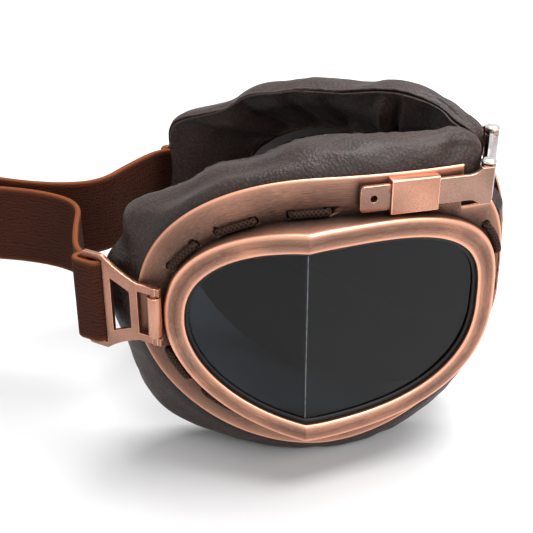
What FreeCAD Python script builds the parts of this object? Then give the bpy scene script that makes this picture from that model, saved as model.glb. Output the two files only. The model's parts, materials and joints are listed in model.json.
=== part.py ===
"""Folding goggles with split lenses, laced leather cushions and an elastic head band.

The right eyepiece is drawn in its own frame: X runs along the flange towards the nose, Y runs
from the front towards the face, and Z runs up from the middle of the lens crease. It is then
set into the folded goggles, whose plane of symmetry is Y = 0, and mirrored to give the left one.
"""
import FreeCAD, Part
import math
import os
from FreeCAD import Placement, Rotation, Vector

doc = FreeCAD.newDocument("goggles")
sheet = doc.addObject("Spreadsheet::Sheet", "sizes")

# Driving dimensions in millimetres and degrees
SIZES = {
    # place of the right eyepiece in the folded goggles, from the bridge's hinge pin
    "hinge_x": 96.419, "hinge_half": 11.989, "eye_splay": 20.5,
    # lens opening: reach from the pupil point to each side
    "pupil_x": 6.5, "pupil_z": 2.2,
    "lens_temple": 37.7, "lens_nose": 42.2, "lens_top": 24.2, "lens_base": 29.4,
    # bezel and what it holds
    "rim_width": 5.3, "rim_wall": 1.9, "rim_lip": 1.4, "prow_height": 10.0,
    "temple_rake": 19.5, "nose_rake": 14.0,
    "gasket_thick": 0.8, "gasket_show": 1.2, "pane_thick": 2.0, "pane_joint": 0.2,
    "retainer_thick": 1.6, "retainer_land": 2.6, "lens_clearance": 0.2,
    # flange: how far it shows past the bezel, and the square tab at its top
    "show_temple": 7.0, "show_nose": 2.5, "show_top": 10.5, "show_base": 8.3, "tab_reach": 35.7,
    "notch_rise": 28.1,
    "flange_bend": 165.0, "flange_thick": 1.0,
    # cushion: how far it swells past the flange, and the plane of its face side
    "swell_temple": 7.5, "swell_nose": 1.4, "swell_top": 6.6, "swell_base": 8.7,
    "rim_depth": 24.0, "rim_tilt": 9.7, "hem_inset": 0.8, "crown_inset": 3.5, "crown_flat": 1.6,
    "inner_margin": 0.8, "cushion_seat": 0.2, "foot_cut": 0.5, "cover_thick": 1.3, "foam_gap": 0.8,
    "foam_end": 36.0, "nose_end": 46.0, "nose_bulge": 3.0, "nose_wall": 2.5, "nose_step": 31.0,
    "nose_lift": 2.5,
    # lacing cord
    "cord_diameter": 1.8, "cord_offset": 1.4, "cord_lift": 1.1, "stitch_length": 9.6,
    "hole_clearance": 0.2,
    # bridge sleeve and strap
    "bridge_z": 36.8, "sleeve_inset": 28.6, "sleeve_length": 13.0, "sleeve_height": 9.4,
    "sleeve_wall": 0.8, "strap_height": 7.0, "strap_thick": 1.2, "strap_clearance": 0.15,
    "strap_tail": 14.5, "strap_hole": 2.0, "strap_hole_inset": 3.6, "tail_corner": 1.2,
    "strap_reach": 21.6, "flare_height": 10.1, "flare_length": 6.5, "flare_flat": 3.2,
    # bridge hinge
    "hinge_reach": 21.4, "ear_thick": 1.2, "knuckle_radius": 1.9, "pin_radius": 1.0,
    "pin_clearance": 0.05, "knuckle_gap": 0.15, "link_thick": 1.2, "link_height": 10.1,
    "head_radius": 2.1, "head_height": 1.1, "head_flat": 1.3,
    # temple lug
    "barrel_inset": 4.6, "barrel_z": 3.6, "barrel_length": 12.0, "barrel_radius": 1.9,
    "barrel_stand": 3.1, "leaf_thick": 0.9, "leaf_length": 7.0, "leaf_height": 13.0,
    "web_thick": 1.2, "window_margin": 0.4,
    # buckle
    "buckle_turn": 36.0, "buckle_thick": 1.2, "buckle_reach": 23.6, "buckle_half": 14.5,
    "outer_bar": 3.0, "band_slot": 4.7, "inner_bar": 2.3, "claw_bar": 2.5, "claw_slot_end": 5.0,
    "claw_height": 2.2, "claw_gap": 0.5, "stub_radius": 0.95, "stub_length": 3.5,
    "window_near": 5.6, "window_far": 8.2, "plate_corner": 2.0,
    # head band
    "band_width": 25.0, "band_thick": 1.6, "band_gap": 0.3, "band_reach": 202.0, "bridge_x": 98.9,
    "overrun": 1.0,
}
for row, (name, value) in enumerate(SIZES.items(), start=1):
    sheet.set(f"A{row}", name)
    sheet.set(f"B{row}", str(value))
    sheet.setAlias(f"B{row}", name)
doc.recompute()


def size(name):
    """The value of one named cell."""
    return float(sheet.get(name))


S = {name: size(name) for name in SIZES}

# Squareness of each quarter of an oval: nose-top, temple-top, temple-base, nose-base
LENS_SQUARE_SHARES = (3.2, 2.3, 1.9, 2.4)
FLANGE_SQUARE_SHARES = (3.4, 2.3, 1.85, 1.8)
CUSHION_SQUARE_SHARES = (5.0, 2.3, 2.1, 2.1)
ARCS_PER_QUARTER = 3
HIDDEN_RUNS = 32

LENS = (S["lens_nose"], S["lens_temple"], S["lens_top"], S["lens_base"])
SHOW = (S["show_nose"], S["show_temple"], S["show_top"], S["show_base"])
FLANGE = tuple(lens + S["rim_width"] + show for lens, show in zip(LENS, SHOW))
SWELL = (S["swell_nose"], S["swell_temple"], S["swell_top"], S["swell_base"])


def grown(reach, margin):
    """An oval's four reaches, each longer by one margin."""
    return tuple(length + margin for length in reach)


def swollen(share):
    """The flange's reaches, longer by a share of the cushion's swell on each side."""
    return tuple(length + share * swell for length, swell in zip(FLANGE, SWELL))


def oval_point(reach, squares, turn):
    """Point of a four-quarter superellipse at a turn in degrees from the nose, over the top."""
    nose, temple, top, base = reach
    quarter = int(turn // 90) % 4
    power = 2 / squares[quarter]
    across = math.cos(math.radians(turn))
    up = math.sin(math.radians(turn))
    x = (nose if across > 0 else temple) * math.copysign(abs(across) ** power, across)
    z = (top if up > 0 else base) * math.copysign(abs(up) ** power, up)
    return S["pupil_x"] + x, S["pupil_z"] + z


def oval_wire(reach, squares, depth):
    """Closed wire of arcs along an oval; depth gives Y at an X."""
    count = 4 * ARCS_PER_QUARTER
    step = 360 / count

    def at(turn):
        x, z = oval_point(reach, squares, turn % 360)
        return Vector(x, depth(x), z)

    arcs = [Part.Arc(at(i * step), at((i + 0.5) * step), at((i + 1) * step)) for i in range(count)]
    return Part.Wire([arc.toShape() for arc in arcs])


def oval_loop(reach, squares, count, depth):
    """Points at equal turns along an oval."""
    places = [oval_point(reach, squares, 360 * i / count) for i in range(count)]
    return [Vector(x, depth(x), z) for x, z in places]


def hidden_wire(reach, squares):
    """Closed wire of short straight runs, for an edge under the bezel."""
    points = oval_loop(reach, squares, HIDDEN_RUNS, front_plane)
    return Part.makePolygon(points + points[:1])


def seen_wire(reach, squares):
    """Closed wire of arcs, for an edge in view."""
    return oval_wire(reach, squares, front_plane)


def flange_depth(x, below=0.0):
    """Depth of the flange's bent front face at X, or of a face that lies below it."""
    radius = S["flange_bend"] - below
    return S["flange_bend"] - math.sqrt(radius ** 2 - (x - S["pupil_x"]) ** 2)


def rim_plane_depth(x):
    """Depth of the cushion's face side at X."""
    return S["rim_depth"] - x * math.tan(math.radians(S["rim_tilt"]))


FRONT = -S["prow_height"] - S["overrun"]
WIDE = S["lens_nose"] + S["lens_temple"]


def front_plane(x):
    """Depth of a plane in front of everything."""
    return FRONT


# Document objects

def feature(name, shape):
    obj = doc.addObject("Part::Feature", name)
    obj.Shape = shape
    return obj


def extrusion(name, face, direction, length):
    """Face carried along a direction for the length that an expression gives."""
    base = feature(name + "_outline", face)
    obj = doc.addObject("Part::Extrusion", name)
    obj.Base = base
    obj.DirMode = "Custom"
    obj.Dir = direction
    obj.Solid = True
    obj.setExpression("LengthFwd", length)
    return obj


def boolean(kind, name, base, tool):
    obj = doc.addObject("Part::" + kind, name)
    obj.Base = base
    obj.Tool = tool
    return obj


def fusion(name, objects):
    obj = doc.addObject("Part::MultiFuse", name)
    obj.Shapes = objects
    return obj


def cylinder(name, radius, height, place):
    obj = doc.addObject("Part::Cylinder", name)
    obj.setExpression("Radius", radius)
    obj.setExpression("Height", height)
    obj.Placement = place
    return obj


def box(name, corner, lengths):
    """Box from its low corner, with its three lengths given by expressions."""
    obj = doc.addObject("Part::Box", name)
    for side, length in zip(("Length", "Width", "Height"), lengths):
        obj.setExpression(side, length)
    obj.Placement.Base = corner
    return obj


def prism(name, *wires):
    """Plate or ring that runs from in front of the bezel to behind the cushion."""
    face = Part.makeFace(list(wires), "Part::FaceMakerBullseye")
    return extrusion(name, face, Vector(0, 1, 0), "2 * sizes.rim_depth + sizes.prow_height")


def bend(name, below):
    """Solid cylinder behind the flange's bent front face, or behind a face below it."""
    place = Placement(Vector(S["pupil_x"], S["flange_bend"], -WIDE), Rotation())
    return cylinder(name, f"sizes.flange_bend - ({below})", "2 * (sizes.lens_nose + sizes.lens_temple)", place)


def prow(name, behind, half=None):
    """Prism behind the two raked planes of the lens, moved back; half keeps one side of the crease."""
    apex = -S["prow_height"] + behind

    def front(x):
        rake = S["nose_rake"] if x > 0 else S["temple_rake"]
        return Vector(x, apex + abs(x) * math.tan(math.radians(rake)), -WIDE)

    joint = S["pane_joint"] / 2
    low = joint if half == 1 else -WIDE
    high = -joint if half == -1 else WIDE
    across = [low, high] if half else [low, 0.0, high]
    points = [front(x) for x in across] + [Vector(high, WIDE, -WIDE), Vector(low, WIDE, -WIDE)]
    face = Part.Face(Part.makePolygon(points + points[:1]))
    return extrusion(name, face, Vector(0, 0, 1), "2 * (sizes.lens_nose + sizes.lens_temple)")


def prow_slab(name, near, thick, half=None):
    """Layer between two raked planes, one a thickness behind the other."""
    return boolean("Cut", name, prow(name + "_front", near, half), prow(name + "_back", near + thick))


nodes = {}


def node(label, obj, place=None):
    """Names a sub-part and sets it into the folded goggles."""
    obj.Label = label
    if place:
        obj.Placement = place
    nodes[label] = obj
    return obj


NOSE_SIDE, TEMPLE_SIDE, TOP_SIDE, BASE_SIDE = FLANGE
BARREL_X = S["pupil_x"] - TEMPLE_SIDE + S["barrel_inset"]
SLEEVE_X = S["pupil_x"] + NOSE_SIDE - S["sleeve_inset"]


def bridge_place():
    """Place of the bridge strap's middle plane, in front of the flange and along it."""
    slope = math.asin((SLEEVE_X - S["pupil_x"]) / S["flange_bend"])
    stand = S["sleeve_wall"] + S["strap_clearance"] + S["strap_thick"] / 2
    foot = Vector(SLEEVE_X, flange_depth(SLEEVE_X), S["bridge_z"])
    out = Vector(math.sin(slope), -math.cos(slope), 0)
    return Placement(foot + stand * out, Rotation(Vector(0, 0, 1), math.degrees(slope)))


def strap_hinge():
    """Middle of the hinge pin in the strap's own frame, behind its plate."""
    return Vector(S["hinge_reach"], S["strap_thick"] / 2 + S["knuckle_radius"] + S["knuckle_gap"], 0)


def eye_place():
    """Place of the eyepiece that sets its hinge pin at the bridge and its cushion on the floor."""
    height = BASE_SIDE + S["swell_base"] - S["pupil_z"] - S["foot_cut"]
    turn = Rotation(Vector(0, 0, 1), S["eye_splay"])
    pin = turn.multVec(bridge_place().multVec(strap_hinge()))
    return Placement(Vector(S["hinge_x"] - pin.x, -S["hinge_half"] - pin.y, height), turn)


EYE = eye_place()
EYE_HEIGHT = EYE.Base.z
RABBET = grown(LENS, S["rim_width"] - S["rim_wall"])
SEATED = grown(RABBET, -S["lens_clearance"])
BEZEL = grown(LENS, S["rim_width"])


def make_bezel():
    """Rim with a raked, creased front, a lip over the lens and a foot on the bent flange."""
    ring = prism("bezel_ring", seen_wire(BEZEL, LENS_SQUARE_SHARES), seen_wire(LENS, LENS_SQUARE_SHARES))
    raked = boolean("Common", "bezel_raked", ring, prow("bezel_prow", 0.0))
    rabbet = boolean("Common", "bezel_rabbet", prism("rabbet", hidden_wire(RABBET, LENS_SQUARE_SHARES)),
                     prow("rabbet_prow", S["rim_lip"]))
    hollow = boolean("Cut", "bezel_hollow", raked, rabbet)
    node("right_bezel", boolean("Cut", "bezel", hollow, bend("bezel_foot", "0")), EYE)


def make_lens_stack():
    """Gasket, two panes that meet at the crease, and retaining ring, from front to back."""
    edge = hidden_wire(SEATED, LENS_SQUARE_SHARES)
    sight = hidden_wire(grown(LENS, -S["gasket_show"]), LENS_SQUARE_SHARES)
    depth = S["rim_lip"]
    slab = prow_slab("gasket_slab", depth, S["gasket_thick"])
    node("right_lens_gasket", boolean("Common", "gasket", prism("gasket_ring", edge, sight), slab), EYE)
    depth += S["gasket_thick"]
    for half, label in ((-1, "right_temple_pane"), (1, "right_nose_pane")):
        slab = prow_slab(label + "_slab", depth, S["pane_thick"], half)
        node(label, boolean("Common", label, prism(label + "_plate", edge), slab), EYE)
    depth += S["pane_thick"]
    land = hidden_wire(grown(SEATED, -S["retainer_land"]), LENS_SQUARE_SHARES)
    slab = prow_slab("retainer_slab", depth, S["retainer_thick"])
    node("right_lens_retainer", boolean("Common", "retainer", prism("retainer_ring", edge, land), slab), EYE)


# Stitches of the lacing, as shares of the way round from the nose over the top
STITCH_SHARES = (0.065, 0.263, 0.331, 0.405, 0.572, 0.634, 0.697)
STITCH_INSET_SHARE = 0.14
STITCH_RISE_SHARE = 0.9
CORD_SIDES = 6
LACE = grown(BEZEL, S["cord_offset"])


def lace_point(turn, lift):
    """Point of the lacing line, lifted off the flange along its normal."""
    x, z = oval_point(LACE, LENS_SQUARE_SHARES, turn)
    slope = math.asin((x - S["pupil_x"]) / S["flange_bend"])
    return Vector(x, flange_depth(x), z) + lift * Vector(math.sin(slope), -math.cos(slope), 0)


def stitch_turns(share):
    """Start and end turns of a stitch whose middle is at a share of the way round."""
    middle = 360 * share
    step = 0.25
    ends = []
    for sign in (-1, 1):
        turn = middle
        while (lace_point(turn, 0) - lace_point(middle, 0)).Length < S["stitch_length"] / 2:
            turn += sign * step
        ends.append(turn)
    return ends


def cord_ring(centre, along, radius):
    """Outline of the round cord, or of a hole for it, as a polygon across a direction."""
    ring = [centre + Rotation(along, 360 * i / CORD_SIDES).multVec(radius * Vector(0, 0, 1))
            for i in range(CORD_SIDES)]
    return Part.makePolygon(ring + ring[:1])


def make_lacing():
    """Cord stitches that come up through the flange, run along the bezel and go down again."""
    radius = S["cord_diameter"] / 2
    stitches = []
    for share in STITCH_SHARES:
        start, end = stitch_turns(share)
        inset = STITCH_INSET_SHARE * (end - start)
        lift = S["cord_lift"]
        rise = STITCH_RISE_SHARE * lift
        route = [lace_point(start, -S["flange_thick"]), lace_point(start, rise),
                 lace_point(start + inset, lift), lace_point(end - inset, lift), lace_point(end, rise),
                 lace_point(end, -S["flange_thick"])]
        path = Part.makePolygon(route)
        along = route[1] - route[0]
        profile = cord_ring(route[0], along, radius)
        stitches.append(path.makePipeShell([profile], True, False, 1))
    node("right_lacing_cord", feature("lacing", Part.makeCompound(stitches)), EYE)


def flange_wire():
    """Outline of the flange: an oval of arcs, with a square tab at its top and a notch for the hinge."""
    power = FLANGE_SQUARE_SHARES[0] / 2
    notch = math.degrees(math.asin((S["notch_rise"] / TOP_SIDE) ** power))
    step = 90 / ARCS_PER_QUARTER
    turns = [0, notch / 2, notch] + [90 + i * step for i in range(3 * ARCS_PER_QUARTER + 1)]

    def at(turn):
        x, z = oval_point(FLANGE, FLANGE_SQUARE_SHARES, turn % 360)
        return Vector(x, FRONT, z)

    side = S["pupil_x"] + S["tab_reach"]
    low = Vector(side, FRONT, S["pupil_z"] + S["notch_rise"])
    high = Vector(side, FRONT, S["pupil_z"] + TOP_SIDE)
    runs = [(at(notch), low), (low, high), (high, at(90))]
    edges = [Part.LineSegment(start, end) for start, end in runs]
    edges += [Part.Arc(at(a), at((a + b) / 2), at(b)) for a, b in zip(turns, turns[1:]) if a != notch]
    return Part.Wire(Part.__sortEdges__([edge.toShape() for edge in edges]))


def make_flange():
    """Bent plate with the lens window, the lacing holes and the window of the temple lug."""
    ring = prism("flange_ring", flange_wire(), hidden_wire(RABBET, LENS_SQUARE_SHARES))
    shell = boolean("Cut", "flange_shell", bend("flange_front", "0"),
                    bend("flange_back", "sizes.flange_thick"))
    plate = boolean("Common", "flange_plate", ring, shell)
    radius = S["cord_diameter"] / 2 + S["hole_clearance"]
    holes = []
    for share in STITCH_SHARES:
        for turn in stitch_turns(share):
            top = lace_point(turn, S["overrun"])
            down = lace_point(turn, -2 * S["overrun"]) - top
            holes.append(Part.Face(cord_ring(top, down, radius)).extrude(down))
    laced = boolean("Cut", "flange_laced", plate, feature("lacing_holes", Part.makeCompound(holes)))
    margin = S["window_margin"]
    low = Vector(BARREL_X - S["web_thick"] / 2 - margin, FRONT,
                 S["barrel_z"] - S["barrel_length"] / 2 - margin)
    window = box("lug_window", low, ("sizes.web_thick + 2 * sizes.window_margin", "2 * sizes.rim_depth",
                                     "sizes.barrel_length + 2 * sizes.window_margin"))
    node("right_flange", boolean("Cut", "flange", laced, window), EYE)


def barrel_axis():
    """Foot of the temple hinge's axis, at the middle of the barrel."""
    return Vector(BARREL_X, flange_depth(BARREL_X) - S["barrel_stand"], S["barrel_z"])


def make_lug():
    """Barrel in front of the flange, web through its window and leaf brazed behind it."""
    axis = barrel_axis()
    low = axis - Vector(0, 0, S["barrel_length"] / 2)
    barrel = cylinder("lug_barrel", "sizes.barrel_radius", "sizes.barrel_length", Placement(low, Rotation()))
    bore = cylinder("lug_bore", "sizes.stub_radius + sizes.pin_clearance", "sizes.barrel_length",
                    Placement(low, Rotation()))
    web = box("lug_web", low - Vector(S["web_thick"] / 2, 0, 0),
              ("sizes.web_thick", "2 * sizes.rim_depth", "sizes.barrel_length"))
    corner = Vector(BARREL_X - S["leaf_length"] / 2, FRONT, S["barrel_z"] - S["leaf_height"] / 2)
    leaf = box("lug_leaf_block", corner,
               ("sizes.leaf_length", "2 * sizes.rim_depth", "sizes.leaf_height"))
    behind = bend("leaf_front", "sizes.flange_thick")
    limit = bend("leaf_back", "sizes.flange_thick + sizes.leaf_thick")
    leaf_shell = boolean("Cut", "leaf_shell", behind, limit)
    leaf = boolean("Common", "lug_leaf_bent", leaf, leaf_shell)
    inside = prism("leaf_limit", seen_wire(grown(FLANGE, -2 * S["hem_inset"]), FLANGE_SQUARE_SHARES))
    leaf = boolean("Common", "lug_leaf", leaf, inside)
    web = boolean("Cut", "lug_web_cut", web, bend("web_back", "sizes.flange_thick + sizes.leaf_thick / 2"))
    whole = fusion("lug_whole", [barrel, web, leaf])
    node("right_temple_lug", boolean("Cut", "lug", whole, bore), EYE)


# Loops of the cushion's roll from the flange to the face: share of the swell, share of the depth
OUTER_LOOP_SHARES = ((0.0, 0.0), (0.46, 0.06), (0.8, 0.19), (0.97, 0.36), (1.0, 0.52), (0.91, 0.7),
                     (0.64, 0.86), (0.22, 0.97))
# Loops of its inner wall: share of the way from the throat to the crown, share of the depth
INNER_LOOP_SHARES = ((0.0, 0.0), (0.0, 0.3), (0.12, 0.58), (0.45, 0.86))
# The cover is thinner where the cushion narrows to the nose
NOSE_THIN_SHARE = 0.35
# How soon the cushion's end beside the hinge bulges, and how it slopes to the nose below it
NOSE_BULGE_SHARE = 0.36
NOSE_SLOPE_SHARE = 0.3
COVER_FACETS = 32
PADDING_FACETS = 16


def blended(first, second, share):
    """Row of values between two rows."""
    return tuple(a + share * (b - a) for a, b in zip(first, second))


def thinned(reach, inset):
    """An oval's reaches, shorter by an inset, and by a share of it at the nose."""
    nose, temple, top, base = reach
    return nose - NOSE_THIN_SHARE * inset, temple - inset, top - inset, base - inset


def nose_limit(z, share):
    """X at which the cushion is cut off aslant beside the bridge's hinge, more at its top."""
    bulge = min(1.0, share / NOSE_BULGE_SHARE)
    step = S["nose_step"] + S["nose_lift"] * (1 - bulge)
    return S["nose_end"] + S["nose_bulge"] * bulge + NOSE_SLOPE_SHARE * (step - z)


def cushion_ring(name, thin, count, skip=1):
    """Padded ring of flat facets, count to a loop; thin insets it, skip leaves loops out."""
    def loop(reach, squares, share, wall=0.0):
        def depth(x):
            near = flange_depth(x, S["flange_thick"]) + S["cushion_seat"]
            room = rim_plane_depth(x) - near
            inset = thin * room / (room + 2 * thin)
            return near + inset + share * (room - 2 * inset)

        places = [oval_point(reach, squares, 360 * i / count) for i in range(count)]
        held = [(min(x, nose_limit(z, 1.0 if wall else share) - wall), z) for x, z in places]
        return [Vector(x, depth(x), z) for x, z in held]

    hem = grown(FLANGE, -S["hem_inset"])
    throat = grown(RABBET, S["inner_margin"])
    crown = grown(FLANGE, -S["crown_inset"])
    outer = [loop(thinned(swollen(share) if share else hem, thin), CUSHION_SQUARE_SHARES, at)
             for share, at in OUTER_LOOP_SHARES[::skip]]
    inner = [loop(thinned(blended(throat, crown, share), -thin),
                  blended(LENS_SQUARE_SHARES, CUSHION_SQUARE_SHARES, share), at, S["nose_wall"])
             for share, at in INNER_LOOP_SHARES[::skip]]
    flat = [loop(grown(crown, S["crown_flat"] / 2 - wall), CUSHION_SQUARE_SHARES, 1.0, wall)
            for wall in (0.0, S["crown_flat"])]
    loops = outer + flat + inner[::-1]
    facets = []
    for near, far in zip(loops, loops[1:] + loops[:1]):
        for i in range(count):
            a, b, c, d = near[i - 1], near[i], far[i], far[i - 1]
            halves = ([a, b, c, a], [a, c, d, a])
            if (b - d).Length < (a - c).Length:
                halves = ([a, b, d, a], [b, c, d, b])
            facets += [Part.Face(Part.makePolygon(half)) for half in halves]
    solid = Part.Solid(Part.Shell(facets))
    if solid.Volume < 0:
        solid.reverse()
    return feature(name, solid)


def make_cushion():
    """Leather roll with a flat foot and a pocket for the lug's leaf."""
    roll = cushion_ring("cushion", 0.0, COVER_FACETS)
    floor = box("cushion_floor", Vector(-WIDE, FRONT, -EYE_HEIGHT),
                ("2 * (sizes.lens_nose + sizes.lens_temple)", "4 * sizes.rim_depth", "2 * (sizes.lens_nose + sizes.lens_temple)"))
    footed = boolean("Common", "cushion_footed", roll, floor)
    margin = S["window_margin"]
    pocket = box("leaf_pocket", Vector(BARREL_X - S["leaf_length"] / 2 - margin, FRONT,
                                       S["barrel_z"] - S["leaf_height"] / 2 - margin),
                 ("sizes.leaf_length + 2 * sizes.window_margin", "2 * sizes.rim_depth",
                  "sizes.leaf_height + 2 * sizes.window_margin"))
    shallow = bend("pocket_floor", "sizes.flange_thick + sizes.leaf_thick + sizes.cushion_seat")
    pocket = boolean("Cut", "pocket", pocket, shallow)
    skin = boolean("Cut", "cushion_skin", footed, pocket)
    cavity = padding("cavity", "0")
    node("right_cushion_cover", boolean("Cut", "cushion_cover", skin, cavity), EYE)
    node("right_cushion_foam", padding("foam", "sizes.foam_gap"), EYE)


def padding(name, gap):
    """Room inside the cover, or the foam that fills it less a gap; it ends short of the nose."""
    thin = S["cover_thick"] + (S["foam_gap"] if name == "foam" else 0.0)
    ring = cushion_ring(name, thin, PADDING_FACETS, 2)
    limit = box(name + "_limit", Vector(-WIDE, FRONT, -WIDE),
                (f"sizes.lens_nose + sizes.lens_temple + sizes.foam_end - {gap}", "4 * sizes.rim_depth",
                 "2 * (sizes.lens_nose + sizes.lens_temple)"))
    return boolean("Common", name + "_padding", ring, limit)


def make_sleeve():
    """Flat tube on the flange through which the bridge strap slides."""
    place = bridge_place()
    hole = ("sizes.sleeve_length + 2 * sizes.overrun", "sizes.strap_thick + 2 * sizes.strap_clearance",
            "sizes.strap_height + 2 * sizes.strap_clearance")
    half = S["strap_thick"] / 2 + S["strap_clearance"]
    corner = Vector(-S["sleeve_length"] / 2, -half - S["sleeve_wall"], -S["sleeve_height"] / 2)
    block = box("sleeve_block", corner,
                ("sizes.sleeve_length", "sizes.rim_depth", "sizes.sleeve_height"))
    slot = box("sleeve_slot", Vector(-S["sleeve_length"] / 2 - S["overrun"], -half,
                                     -S["strap_height"] / 2 - S["strap_clearance"]), hole)
    tube = boolean("Cut", "sleeve_tube", block, slot)
    tube.Placement = place
    node("right_bridge_sleeve", boolean("Cut", "sleeve", tube, bend("sleeve_foot", "0")), EYE)


# Middle of the strap's hollow flare and of a rounded corner, along and across
FLARE_MIDDLE_SHARES = (0.55, 0.26)
CORNER_MIDDLE_SHARE = 0.293


def make_strap():
    """Strip with a drilled tail, a hollow flare and two ears bent back round the hinge pin."""
    half = S["strap_height"] / 2
    wide = S["flare_height"] / 2
    end = S["strap_reach"]
    tail = -S["strap_tail"]
    corner = S["tail_corner"]
    y = -S["strap_thick"] / 2

    def at(x, z):
        return Vector(x, y, z)

    def side(sign):
        """Outline of one side from the tail's end to the flare's."""
        start = end - S["flare_length"]
        flat = end - S["flare_flat"]
        along, across = FLARE_MIDDLE_SHARES
        middle = at(start + along * (flat - start), sign * (half + across * (wide - half)))
        near = CORNER_MIDDLE_SHARE * corner
        return [Part.Arc(at(tail, sign * (half - corner)), at(tail + near, sign * (half - near)),
                         at(tail + corner, sign * half)),
                Part.LineSegment(at(tail + corner, sign * half), at(start, sign * half)),
                Part.Arc(at(start, sign * half), middle, at(flat, sign * wide)),
                Part.LineSegment(at(flat, sign * wide), at(end, sign * wide))]

    edges = [line.toShape() for sign in (-1, 1) for line in side(sign)]
    edges.append(Part.LineSegment(at(end, -wide), at(end, wide)).toShape())
    edges.append(Part.LineSegment(at(tail, corner - half), at(tail, half - corner)).toShape())
    face = Part.Face(Part.Wire(Part.__sortEdges__(edges)))
    parts = [extrusion("strap_plate", face, Vector(0, 1, 0), "sizes.strap_thick")]
    pin = strap_hinge()
    for low in (-wide, wide - S["ear_thick"]):
        parts.append(box(f"strap_ear_{len(parts)}", Vector(pin.x - S["knuckle_radius"], y, low),
                         ("sizes.strap_reach - sizes.hinge_reach + sizes.knuckle_radius",
                          "sizes.strap_thick + sizes.knuckle_radius + sizes.knuckle_gap", "sizes.ear_thick")))
        parts.append(cylinder(f"strap_eye_{len(parts)}", "sizes.knuckle_radius", "sizes.ear_thick",
                              Placement(pin + Vector(0, 0, low), Rotation())))
    bore = cylinder("strap_bore", "sizes.pin_radius + sizes.pin_clearance", "sizes.flare_height",
                    Placement(pin - Vector(0, 0, wide), Rotation()))
    hole = cylinder("strap_hole", "sizes.strap_hole / 2", "2 * sizes.strap_thick",
                    Placement(Vector(S["strap_hole_inset"] + tail, S["strap_thick"], 0),
                              Rotation(Vector(1, 0, 0), 90)))
    whole = fusion("strap_whole", parts)
    cuts = fusion("strap_cuts", [bore, hole])
    node("right_bridge_strap", boolean("Cut", "strap", whole, cuts), EYE * bridge_place())


def hinge_axis():
    """Middle of the right hinge pin in the folded goggles."""
    return (EYE * bridge_place()).multVec(strap_hinge())


def make_link():
    """Plate between the two hinge pins, with a knuckle on each that turns between a strap's ears."""
    axis = hinge_axis()
    reach = -axis.y
    wide = S["link_height"] / 2
    middle = S["flare_height"] / 2 - S["ear_thick"] - S["knuckle_gap"]
    clear = S["knuckle_radius"] + S["knuckle_gap"]
    inner = reach - clear
    points = [(-reach, -middle), (-inner, -middle), (-inner, -wide), (inner, -wide), (inner, -middle),
              (reach, -middle), (reach, middle), (inner, middle), (inner, wide), (-inner, wide),
              (-inner, middle), (-reach, middle)]
    outline = [Vector(-S["link_thick"] / 2, y, z) for y, z in points]
    face = Part.Face(Part.makePolygon(outline + outline[:1]))
    parts = [extrusion("link_plate", face, Vector(1, 0, 0), "sizes.link_thick")]
    bores = []
    for side in (-1, 1):
        place = Placement(Vector(0, side * reach, -middle), Rotation())
        height = "sizes.flare_height - 2 * sizes.ear_thick - 2 * sizes.knuckle_gap"
        parts.append(cylinder(f"link_knuckle_{len(parts)}", "sizes.knuckle_radius", height, place))
        bores.append(cylinder(f"link_bore_{len(bores)}", "sizes.pin_radius", height, place))
    whole = fusion("link_whole", parts)
    cuts = fusion("link_cuts", bores)
    place = Placement(Vector(axis.x, 0, axis.z), Rotation())
    node("bridge_link", boolean("Cut", "link", whole, cuts), place)


def make_pins():
    """Two hinge pins with bevelled heads above the straps' ears."""
    low = Vector(0, 0, -S["flare_height"] / 2)
    shaft = cylinder("pin_shaft", "sizes.pin_radius", "sizes.flare_height + sizes.knuckle_gap",
                     Placement(low, Rotation()))
    head = doc.addObject("Part::Cone", "pin_head")
    head.setExpression("Radius1", "sizes.head_radius")
    head.setExpression("Radius2", "sizes.head_flat")
    head.setExpression("Height", "sizes.head_height")
    head.Placement.Base = -low + Vector(0, 0, S["knuckle_gap"])
    pin = fusion("pin", [shaft, head])
    pin.Placement.Base = hinge_axis()
    mirrored = doc.addObject("Part::Mirroring", "pin_left")
    mirrored.Source = pin
    mirrored.Normal = Vector(0, 1, 0)
    pair = doc.addObject("Part::Compound", "pins")
    pair.Links = [pin, mirrored]
    node("hinge_pins", pair)


def buckle_place():
    """Place of the buckle: its X runs from the barrel's axis to the band."""
    return EYE * Placement(barrel_axis(), Rotation(Vector(0, 0, 1), 180 - S["buckle_turn"]))


# Where a buckle's side curves, along it and from the claw's height to the full height
WAIST_SHARE = 0.45
WAIST_SWELL_SHARE = 0.3


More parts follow.
